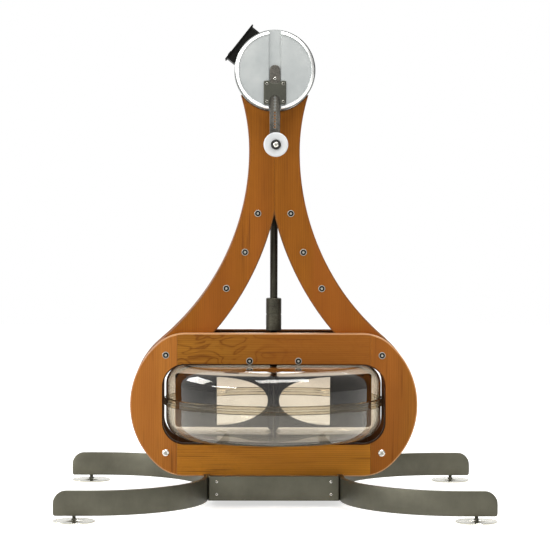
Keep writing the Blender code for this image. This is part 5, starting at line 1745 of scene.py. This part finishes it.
@dataclass(frozen=True)
class CrankDrum:
    """Drum shell, crank discs with their channel, clamp blocks, and the gear train inside."""

    radius: float = 0.096
    disc_radius: float = 0.0948
    wall: float = 0.004
    half_depth: float = 0.064
    end_wall: float = 0.010
    bore: float = 0.0103
    shell_edge: float = 0.0010
    disc_back: float = 0.0655
    floor: float = 0.0765
    face: float = 0.0845
    rim_face: float = 0.0875
    rim_width: float = 0.0088
    rim_edge: float = 0.0006
    rim_lip: float = 0.0004
    shaded_edge: float = 0.0022
    leans: tuple[float, float] = (15.0, 54.0)
    slope: float = 0.0008
    edge: float = 0.0015
    channel: float = 0.01425
    chamfer: float = 0.0007
    face_rows: int = 14
    crown_rows: int = 8
    columns: int = 73
    clamp_back: float = 0.0851
    clamp_thickness: float = 0.007
    clamp_width: float = 0.053
    clamp_height: float = 0.0565
    clamp_below: float = 0.053
    clamp_corner: float = 0.004
    screw_inset: float = 0.0075
    top_notch_radius: float = 0.0215
    top_notch_depth: float = 0.0065
    low_notch_half: float = 0.012
    low_notch_depth: float = 0.0216
    screw: Bolt = Bolt(0.0032, 0.0015, 0.0016, 0.0012)

    def cheek(self, surface: Surface, hand: Hand, place: Place) -> None:
        """Add the raised part of a disc on one hand of the channel.

        The face is a polar grid cut off along the channel: on a circle of radius r the angle,
        taken from the channel's direction, runs from asin(x / r) to its supplement, for the
        channel edge's distance x. Its height is the face's, then the crowned rim's. The crown
        falls away outwards: each step of radius takes off its width times the tangent of its
        lean, and the lean grows evenly from the first to the last. The last step has a darker
        coat: painted shade along the disc's outer edge.

        Args:
            surface: takes the cheek.
            hand: which side of the channel.
            place: where the disc goes.
        """
        start, rim = self.channel + self.chamfer, self.disc_radius
        inner, rows = rim - self.rim_width, self.face_rows
        crown = np.append(np.linspace(inner + self.rim_edge, rim - self.shaded_edge, self.crown_rows), rim)
        fall = np.tan(np.radians(np.linspace(*self.leans, self.crown_rows))) * np.diff(crown)
        radii = np.concatenate((np.linspace(start, inner - self.slope, rows), (inner,), crown, (rim,)))
        heights = np.concatenate((
            np.full(rows, self.face), (self.rim_face - self.rim_lip, self.rim_face),
            self.rim_face - np.cumsum(fall), (self.floor,),
        ))
        first = np.arcsin(np.clip(start / radii, -1.0, 1.0))[:, None]
        angles = first + (math.pi - 2 * first) * np.linspace(0.0, 1.0, self.columns)
        across = hand.value * radii[:, None] * np.sin(angles)
        up = radii[:, None] * np.cos(angles)
        grid = np.stack((across, up, np.repeat(heights[:, None], self.columns, axis=1)), axis=-1)
        # Coat 2, the last step, is painted shade: a dark line round the disc.
        bands = ((0, grid[:rows + 2]), (1, grid[rows + 1:-2]), (2, grid[-3:-1]), (0, grid[-2:]))
        for coat, band in bands:
            surface.coat = coat
            surface.add_grid(place(band), wrap=False)
        ends = np.concatenate((grid[:-1, 0][::-1], grid[1:-1, -1]))
        wall = np.repeat(ends[:, None], 3, axis=1)
        wall[:, 1:, 0] = hand.value * self.channel
        wall[:, 1, 2] -= self.chamfer
        wall[:, 2, 2] = self.floor
        surface.add_grid(place(wall), wrap=False)
        for row in (0, -1):
            corner = wall[row, 0].copy()
            corner[2] = self.floor
            patch = np.stack((np.stack((wall[row, 0], wall[row, 1])), np.stack((corner, wall[row, 2]))))
            surface.add_grid(place(patch), wrap=False)
        under = np.concatenate((grid[-1, :, :2], wall[::-1, 2, :2]))
        surface.add_cap([under], self.floor, place)

    def clamp_outline(self) -> Outline:
        """Square block with a shallow arc taken out above and a deep round-ended slot below.

        Returns:
            The outline.
        """
        half, corner, slot = self.clamp_width / 2, self.clamp_corner, self.low_notch_half
        middle = AXIS_Z - self.clamp_below
        top, low = middle + self.clamp_height / 2, middle - self.clamp_height / 2
        rise = self.top_notch_radius - self.top_notch_depth
        spread = math.acos(rise / self.top_notch_radius)
        right = np.concatenate((
            arc((half - corner, low + corner), corner, -QUARTER, 0.0, 6),
            arc((half - corner, top - corner), corner, 0.0, QUARTER, 6),
        ))
        dip = arc((0.0, top + rise), self.top_notch_radius, -QUARTER + spread, -QUARTER - spread, 16)
        roof = arc((0.0, low + self.low_notch_depth - slot), slot, math.pi, 0.0, 18)
        return Outline.of(np.concatenate((
            right, dip, mirrored(right), ((-slot, low),), roof, ((slot, low),),
        )))

    def build(self) -> None:
        """Make the shell, the discs and the clamps, and dress the hidden parts."""
        outer, inner, half, rim = self.radius, self.radius - self.wall, self.half_depth, self.shell_edge
        shell = Surface().add_turned((
            (inner, half), (outer - rim, half), (outer, half - rim), (outer, rim - half),
            (outer - rim, -half), (self.bore, -half), (self.bore, self.end_wall - half),
            (inner, self.end_wall - half), (inner, half),
        ), 144, Side.FRONT.facing((0.0, 0.0, AXIS_Z)))
        # The shell's chamfers take the darker coat: painted shade along its rims.
        for chamfer in (-half, half - rim):
            shell.recoat(0, 1, (-FAR, chamfer - rim / 2, -FAR), (FAR, chamfer + rim / 2, FAR))
        make_piece("cast_drum_shell", shell, SATIN_CAST, "frame", ("drum_shell",), more=(SHADED_CAST_EDGE,))
        for side in Side:
            self.disc(side)
            self.clamp(side)
        dress_node("drum_front_bearing_plate", SATIN_CAST)
        dress_node("neck_block", SATIN_CAST)
        dress_node("crank_axle", BRIGHT_BOLT)
        dress_node("crank_bevel_gear", BRIGHT_BOLT)

    def disc(self, side: Side) -> None:
        """Make one crank disc: a full plate with two cheeks on it.

        Args:
            side: front or rear.
        """
        place = side.facing((0.0, 0.0, AXIS_Z))
        rim = self.disc_radius
        surface = Surface().add_turned((
            (0.0, self.disc_back), (rim - self.edge, self.disc_back),
            (rim, self.disc_back + self.edge), (rim, self.floor), (0.0, self.floor),
        ), 144, place)
        for hand in Hand:
            self.cheek(surface, hand, place)
        make_piece(f"channelled_disc_{side.value}", surface, SATIN_CAST, "crank",
                   (f"crank_disc_{side.value}",), 25.0, (POLISHED_RIM, SHADED_CAST_EDGE))

    def clamp(self, side: Side) -> None:
        """Make one clamp block and its four corner screws.

        Args:
            side: front or rear.
        """
        face = self.clamp_back + self.clamp_thickness
        block = Surface().add_slab(self.clamp_outline(), self.clamp_back, face, Rounding(0.0010, 3),
                                   side.facing())
        make_piece(f"clamp_block_{side.value}", block, CLAMP_STEEL, "crank", (f"arm_clamp_{side.value}",))
        screws = Surface()
        across = self.clamp_width / 2 - self.screw_inset
        rise = self.clamp_height / 2 - self.screw_inset
        for hand in Hand:
            for step in (-rise, rise):
                at = (hand.value * across, 0.0, AXIS_Z - self.clamp_below + step)
                self.screw.add_head(screws, face, side.facing(at))
        # The screws' sockets are black: painted shade in their recesses.
        make_piece(f"clamp_screws_{side.value}", screws, ZINC_AND_PAINTED_LIGHT, "crank", more=(BLACK_OXIDE_AND_SOCKET_SHADE,))


@dataclass(frozen=True)
class CrankArm:
    """Flat arm with its row of index holes, stop screw, spindle and turning grip."""

    handle_z: float = 0.8555
    half_width: float = 0.0125
    back: float = 0.0768
    face: float = 0.0848
    hole: float = 0.0025
    pitch: float = 0.007
    holes: int = 12
    first_hole: float = 0.0575
    stop_z: float = 1.0106
    boss: float = 0.011
    spindle: float = 0.008
    start: float = 0.0955
    end: float = 0.2555
    end_radius: float = 0.0283
    inner_radius: float = 0.024
    body_radius: float = 0.0185
    flare: float = 0.022
    edge: float = 0.004
    ring: float = 0.0115
    ring_height: float = 0.003
    clearance: float = 0.0003
    stop: Bolt = Bolt(0.0040, 0.0030, 0.0016, 0.0014)
    end_bolt: Bolt = Bolt(0.0064, 0.0040, 0.0022, 0.0018)

    def grip_profile(self) -> Profile:
        """Closed profile of the grip: its radius eases by a half cosine from end to waist.

        Returns:
            The profile.
        """
        bore, recess = self.spindle + self.clearance, self.end - 0.0008
        share = np.linspace(0.0, 1.0, 14)
        ease = (1.0 + np.cos(math.pi * share)) / 2
        outer, inner = (
            self.body_radius + (radius - self.body_radius) * ease
            for radius in (self.end_radius, self.inner_radius)
        )
        round_end = arc((self.end_radius - self.edge, self.end - self.edge), self.edge, QUARTER, 0.0, 8)
        return [
            (bore, recess), (self.ring + 0.0008, recess), (self.ring + 0.0020, self.end),
            *round_end.tolist(),
            *zip(outer, self.end - 2 * self.edge - self.flare * share),
            *zip(inner[::-1], self.start + self.edge + self.flare * share[::-1]),
            (self.inner_radius, self.start + 0.002), (self.inner_radius - 0.0006, self.start + 0.0006),
            (self.inner_radius - 0.002, self.start), (bore, self.start), (bore, recess),
        ]

    def build(self) -> None:
        """Make both arms with their grips."""
        for side in Side:
            self.bar(side)
            self.handle(side)

    def bar(self, side: Side) -> None:
        """Make the flat bar with its index holes, and the stop screw near its upper end.

        Args:
            side: front or rear.
        """
        outline = Outline.of(np.concatenate((
            arc((0.0, AXIS_Z), self.half_width, 0.0, math.pi, 24),
            arc((0.0, self.handle_z), self.half_width, math.pi, 2 * math.pi, 24),
        )))
        levels = AXIS_Z - self.first_hole - self.pitch * np.arange(self.holes)
        holes = [arc((0.0, level), self.hole, 0.0, 2 * math.pi, 19)[:-1] for level in levels]
        bar = Surface().add_slab(outline, self.back, self.face, Rounding(0.0014, 4, 0.0002),
                                 side.facing(), holes)
        # Coat 1 is a zinc ring round each hole: a painted highlight where the holes' edges catch the light.
        bar.coat = 1
        bore, lip = self.hole + 0.0001, self.hole + 0.0007
        sunk, proud = self.face - 0.0006, self.face + 0.0001
        ring = ((bore, sunk), (lip, sunk), (lip, proud), (bore, proud), (bore, sunk))
        for level in levels:
            bar.add_turned(ring, 18, side.facing((0.0, 0.0, level)))
        body = f"arm_{side.value}"
        make_piece(f"indexed_arm_{side.value}", bar, ARM_STEEL, body, (f"crank_arm_{side.value}",),
                   more=(ZINC_AND_PAINTED_LIGHT,))
        screw = self.stop.add_head(Surface(), self.face, side.facing((0.0, 0.0, self.stop_z)))
        # The stop screw's socket is black: painted shade in its recess.
        make_piece(f"stop_screw_{side.value}", screw, BRIGHT_BOLT, body, more=(BLACK_OXIDE_AND_SOCKET_SHADE,))

    def handle(self, side: Side) -> None:
        """Make the spindle, the grip on it, and the ring and bolt that hold the grip.

        Args:
            side: front or rear.
        """
        place = side.facing((0.0, 0.0, self.handle_z))
        body = f"arm_{side.value}"
        seat, low = self.start - self.clearance, self.end + self.clearance
        high = low + self.ring_height
        spindle = Surface().add_turned((
            (0.0, self.face), (self.boss, self.face), (self.boss, seat - 0.0008),
            (self.boss - 0.0008, seat), (self.spindle, seat), (self.spindle, low), (0.0, low),
        ), 48, place)
        make_piece(f"grip_spindle_{side.value}", spindle, SHAFT_STEEL, body)
        ring = Surface().add_turned((
            (0.0, low), (self.ring, low), (self.ring, high - 0.0010), (self.ring - 0.0010, high),
            (0.0, high),
        ), 56, place)
        make_piece(f"grip_end_ring_{side.value}", ring, SEAL_RUBBER, body)
        bolt = self.end_bolt.add_head(Surface(), high, place)
        # The bolt's socket is zinc, duller than its head: painted shade in the recess.
        make_piece(f"grip_end_bolt_{side.value}", bolt, BRIGHT_BOLT, body, more=(ZINC_AND_PAINTED_LIGHT,))
        grip = Surface().add_turned(self.grip_profile(), 96, place)
        make_piece(f"turning_grip_{side.value}", grip, GRIP_PLASTIC, f"handle_{side.value}",
                   (f"grip_{side.value}",), 40.0)


@dataclass(frozen=True)
class Monitor:
    """Tilted monitor on the drum: housing, bezel, lens and three push buttons."""

    tilt: float = math.radians(51.7)
    half_length: float = 0.0475
    half_width: float = 0.065
    seat_radius: float = 0.0966
    corner: float = 0.006
    back_face: float = 0.1065
    face: float = 0.1095
    overhang: float = 0.0045
    screen_shift: float = 0.014
    screen_length: float = 0.056
    screen_width: float = 0.104
    screen_thickness: float = 0.0015
    screen_corner: float = 0.002
    screen_gap: float = 0.0003
    border_length: float = 0.006
    border_width: float = 0.007
    button_shift: float = -0.034
    button_pitch: float = 0.034
    button_length: float = 0.011
    button_width: float = 0.020
    button_corner: float = 0.003
    button_low: float = 0.1050
    button_high: float = 0.1113
    gap: float = 0.0004

    def place(self) -> Placement:
        """The monitor's frame: local Z points out of its face, local X up its slope."""
        cosine, sine = math.cos(-self.tilt), math.sin(-self.tilt)
        turn = np.array(((cosine, 0.0, sine), (0.0, 1.0, 0.0), (-sine, 0.0, cosine)))
        return Placement(turn, (0.0, 0.0, AXIS_Z))

    def screen_loop(self, gap: float) -> np.ndarray:
        """Loop of the screen, grown by a gap.

        Args:
            gap: how far it is grown all round.

        Returns:
            The loop.
        """
        reach = np.array((self.screen_length / 2 + gap, self.screen_width / 2 + gap))
        middle = np.array((self.screen_shift, 0.0))
        return rounded_rectangle(middle - reach, middle + reach, self.screen_corner, 5)

    def button_loops(self, gap: float) -> list[np.ndarray]:
        """Loops of the three buttons, grown by a gap.

        Args:
            gap: how far they are grown all round.

        Returns:
            The loops.
        """
        reach = np.array((self.button_length / 2 + gap, self.button_width / 2 + gap))
        middles = [np.array((self.button_shift, step * self.button_pitch)) for step in (-1, 0, 1)]
        return [rounded_rectangle(at - reach, at + reach, self.button_corner, 5) for at in middles]

    def housing(self) -> Surface:
        """Walls down to the drum and a bezel plate over them.

        A wall's lower edge lies on the drum: its level is the square root of the drum's radius
        squared less the place up the slope squared.

        Returns:
            The housing's surface.
        """
        place, surface = self.place(), Surface()
        wall, bezel = (
            rounded_rectangle((-self.half_length - grown, -self.half_width - grown),
                              (self.half_length + grown, self.half_width + grown), self.corner)
            for grown in (0.0, self.overhang)
        )
        pockets = self.button_loops(self.gap)
        loops = [wall, *pockets]
        under = [np.sqrt(self.seat_radius ** 2 - loop[:, 0] ** 2) for loop in loops]
        for loop, lower in zip(loops, under):
            bottom = np.column_stack((loop, lower))
            top = np.column_stack((loop, np.full(len(loop), self.back_face)))
            surface.add_grid(place(np.stack((bottom, top))))
        surface.add_cap(loops, np.concatenate(under), place)
        surface.add_cap(loops, self.back_face, place)
        return surface.add_slab(Outline.of(bezel), self.back_face, self.face, Rounding(0.0007, 3, 0.0002),
                                place, [self.screen_loop(self.screen_gap), *pockets])

    def build(self) -> None:
        """Make the housing, the lens and the buttons."""
        place = self.place()
        make_piece("monitor_case", self.housing(), HOUSING_PLASTIC, "frame", ("monitor_housing",))
        middle = place(np.array((self.screen_shift, 0.0, self.face)))
        glass = DisplayLens(
            "hard_coated_acrylic_lens", "screen_lens", tuple(middle.tolist()), -self.tilt,
            self.screen_length / 2 - self.border_length, self.screen_width / 2 - self.border_width,
        )
        lens = Surface().add_slab(Outline.of(self.screen_loop(0.0)), self.face - self.screen_thickness,
                                  self.face, Rounding(0.0003, 2, 0.0002), place)
        make_piece("display_lens", lens, glass, "frame", ("monitor_screen",))
        for number, loop in enumerate(self.button_loops(0.0), start=1):
            button = Surface().add_slab(Outline.of(loop), self.button_low, self.button_high,
                                        Rounding(0.0009, 4, 0.0002), place)
            make_piece(f"push_button_{number}", button, SEAL_RUBBER, f"button_{number}",
                       (f"monitor_button_{number}",))


@dataclass(frozen=True)
class Studio:
    """Camera, floor, soft lamps and world of the product photograph."""

    stand: tuple[float, float, float] = (-0.0948, -6.3627, 0.8677)
    yaw: float = -0.879
    pitch: float = -2.926
    roll: float = 0.193
    lens: float = 173.82
    floor_half: float = 6.0
    floor_glow: float = 0.62
    ambient: float = 0.60

    def camera(self) -> None:
        """Place the camera: turned about Z, tipped about its own X, rolled about its view."""
        data = bpy.data.cameras.new("photograph_camera")
        data.lens = self.lens
        data.sensor_width = 36.0
        data.clip_end = 60.0
        item = bpy.data.objects.new("photograph_camera", data)
        stance = Matrix.Translation(Vector(self.stand))
        for angle, axis in ((self.yaw, "Z"), (90.0 + self.pitch, "X"), (self.roll, "Z")):
            stance = stance @ Matrix.Rotation(math.radians(angle), 4, axis)
        item.matrix_world = stance
        bpy.context.scene.collection.objects.link(item)
        bpy.context.scene.camera = item

    def seen_rays(self, add: Adder) -> Socket:
        """One where the camera sees straight, by a mirror or through glass, and zero elsewhere.

        Args:
            add: add_node for the tree.

        Returns:
            The value's socket.
        """
        seen = add("LightPath", "Is Camera Ray")
        for kind in ("Is Glossy Ray", "Is Transmission Ray"):
            seen = add("Math", "Value", seen, add("LightPath", kind), operation="MAXIMUM")
        return seen

    def dark_flag(self, add: Adder) -> Socket:
        """Grey card to the right of the set that only mirrors see; one everywhere else.

        Args:
            add: add_node for the tree.

        Returns:
            The socket of the share of the world's light that is left.
        """
        right = add("SeparateXYZ", "X", Vector=add("TexCoord", "Generated"))
        shade = add("MapRange", "Result", Value=right, From_Min=0.30, From_Max=0.70, To_Max=0.70)
        mirror = add("Math", "Value", add("LightPath", "Is Glossy Ray"),
                     add("LightPath", "Is Transmission Ray"), operation="SUBTRACT", use_clamp=True)
        taken = add("Math", "Value", mirror, shade, operation="MULTIPLY")
        return add("Math", "Value", 1.0, taken, operation="SUBTRACT")

    def world(self) -> None:
        """White to the eye, in metal and through glass, and a plain grey dome of light."""
        world = bpy.data.worlds.new("white_studio")
        world.use_nodes = True
        world.node_tree.nodes.clear()
        add = partial(add_node, world.node_tree)
        dome = add("MapRange", "Result", Value=self.seen_rays(add), To_Min=self.ambient, To_Max=1.0)
        strength = add("Math", "Value", dome, self.dark_flag(add), operation="MULTIPLY")
        add("OutputWorld", Surface=add("Background", "Background", Color=linear("#FFFFFF"),
                                       Strength=strength))
        bpy.context.scene.world = world

    def floor(self) -> None:
        """A pale floor that keeps the object's shadow and is otherwise white to the eye."""
        half = self.floor_half
        mesh = bpy.data.meshes.new("studio_floor")
        corners = ((-half, -half, 0.0), (half, -half, 0.0), (half, half, 0.0), (-half, half, 0.0))
        mesh.from_pydata(corners, [], [(0, 1, 2, 3)])
        item = bpy.data.objects.new("studio_floor", mesh)
        bpy.context.scene.collection.objects.link(item)
        paint = bpy.data.materials.new("white_paper_floor")
        paint.use_nodes = True
        paint.node_tree.nodes.clear()
        add = partial(add_node, paint.node_tree)
        fibres = add("TexNoise", "Fac", Vector=add("TexCoord", "Object"), Scale=90.0)
        tone = add("ValToRGB", "Color", Fac=fibres, stops=((0.0, "#E4E4E2"), (1.0, "#E9E9E7")))
        glow = add("Math", "Value", self.seen_rays(add), self.floor_glow, operation="MULTIPLY")
        both = add("AddShader", "Shader", add("BsdfDiffuse", "BSDF", Color=tone),
                   add("Emission", "Emission", Color=linear("#FFFFFF"), Strength=glow))
        add("OutputMaterial", Surface=both)
        mesh.materials.append(paint)

    def lamp(self, name: str, at: Sequence[float], size: tuple[float, float], power: float,
             aim: Sequence[float] = (0.0, 0.0, 0.55), gleam: float = 0.0) -> None:
        """Add a soft rectangular lamp that points at the object.

        Args:
            name: the lamp's name.
            at: its place.
            size: its width and height.
            power: its power in watts.
            aim: point that it faces.
            gleam: power in watts that only mirrors and clear plastic see.
        """
        if gleam:
            self.lamp(f"{name}_gleam", at, size, gleam, aim)
            bpy.data.objects[f"{name}_gleam"].visible_diffuse = False
        data = bpy.data.lights.new(name, "AREA")
        data.shape = "RECTANGLE"
        data.size, data.size_y = size
        data.energy = power
        item = bpy.data.objects.new(name, data)
        item.location = at
        item.rotation_euler = (Vector(aim) - Vector(at)).to_track_quat("-Z", "Y").to_euler()
        bpy.context.scene.collection.objects.link(item)

    def build(self) -> None:
        """Set up the picture."""
        bpy.context.scene.view_settings.view_transform = "Standard"
        self.camera()
        self.world()
        self.floor()
        self.lamp("top_softbox", (0.4, -1.4, 3.3), (2.5, 1.0), 60.0, (0.0, -0.1, 0.4), 110.0)
        self.lamp("left_bank", (-2.8, 0.45, 2.0), (1.7, 1.1), 28.0, (-0.1, -0.1, 0.35), 76.0)
        self.lamp("left_strip", (-2.9, -2.05, 1.5), (1.8, 0.30), 26.0, (-0.1, -0.2, 0.35), 44.0)
        self.lamp("back_fill", (0.6, 3.0, 2.4), (2.4, 1.2), 40.0)


def main() -> None:
    """Build the studio and every sub-assembly in order, and report each piece."""
    logging.basicConfig(level=logging.INFO, format="%(name)s: %(message)s")
    for part in (
        Studio(), WoodenPanels(), WoodenTower(), TieBolts(), SteelBase(), WaterTank(),
        PaddleRotor(), CrankDrum(), CrankArm(), Monitor(),
    ):
        part.build()


if __name__ == "__main__":
    main()
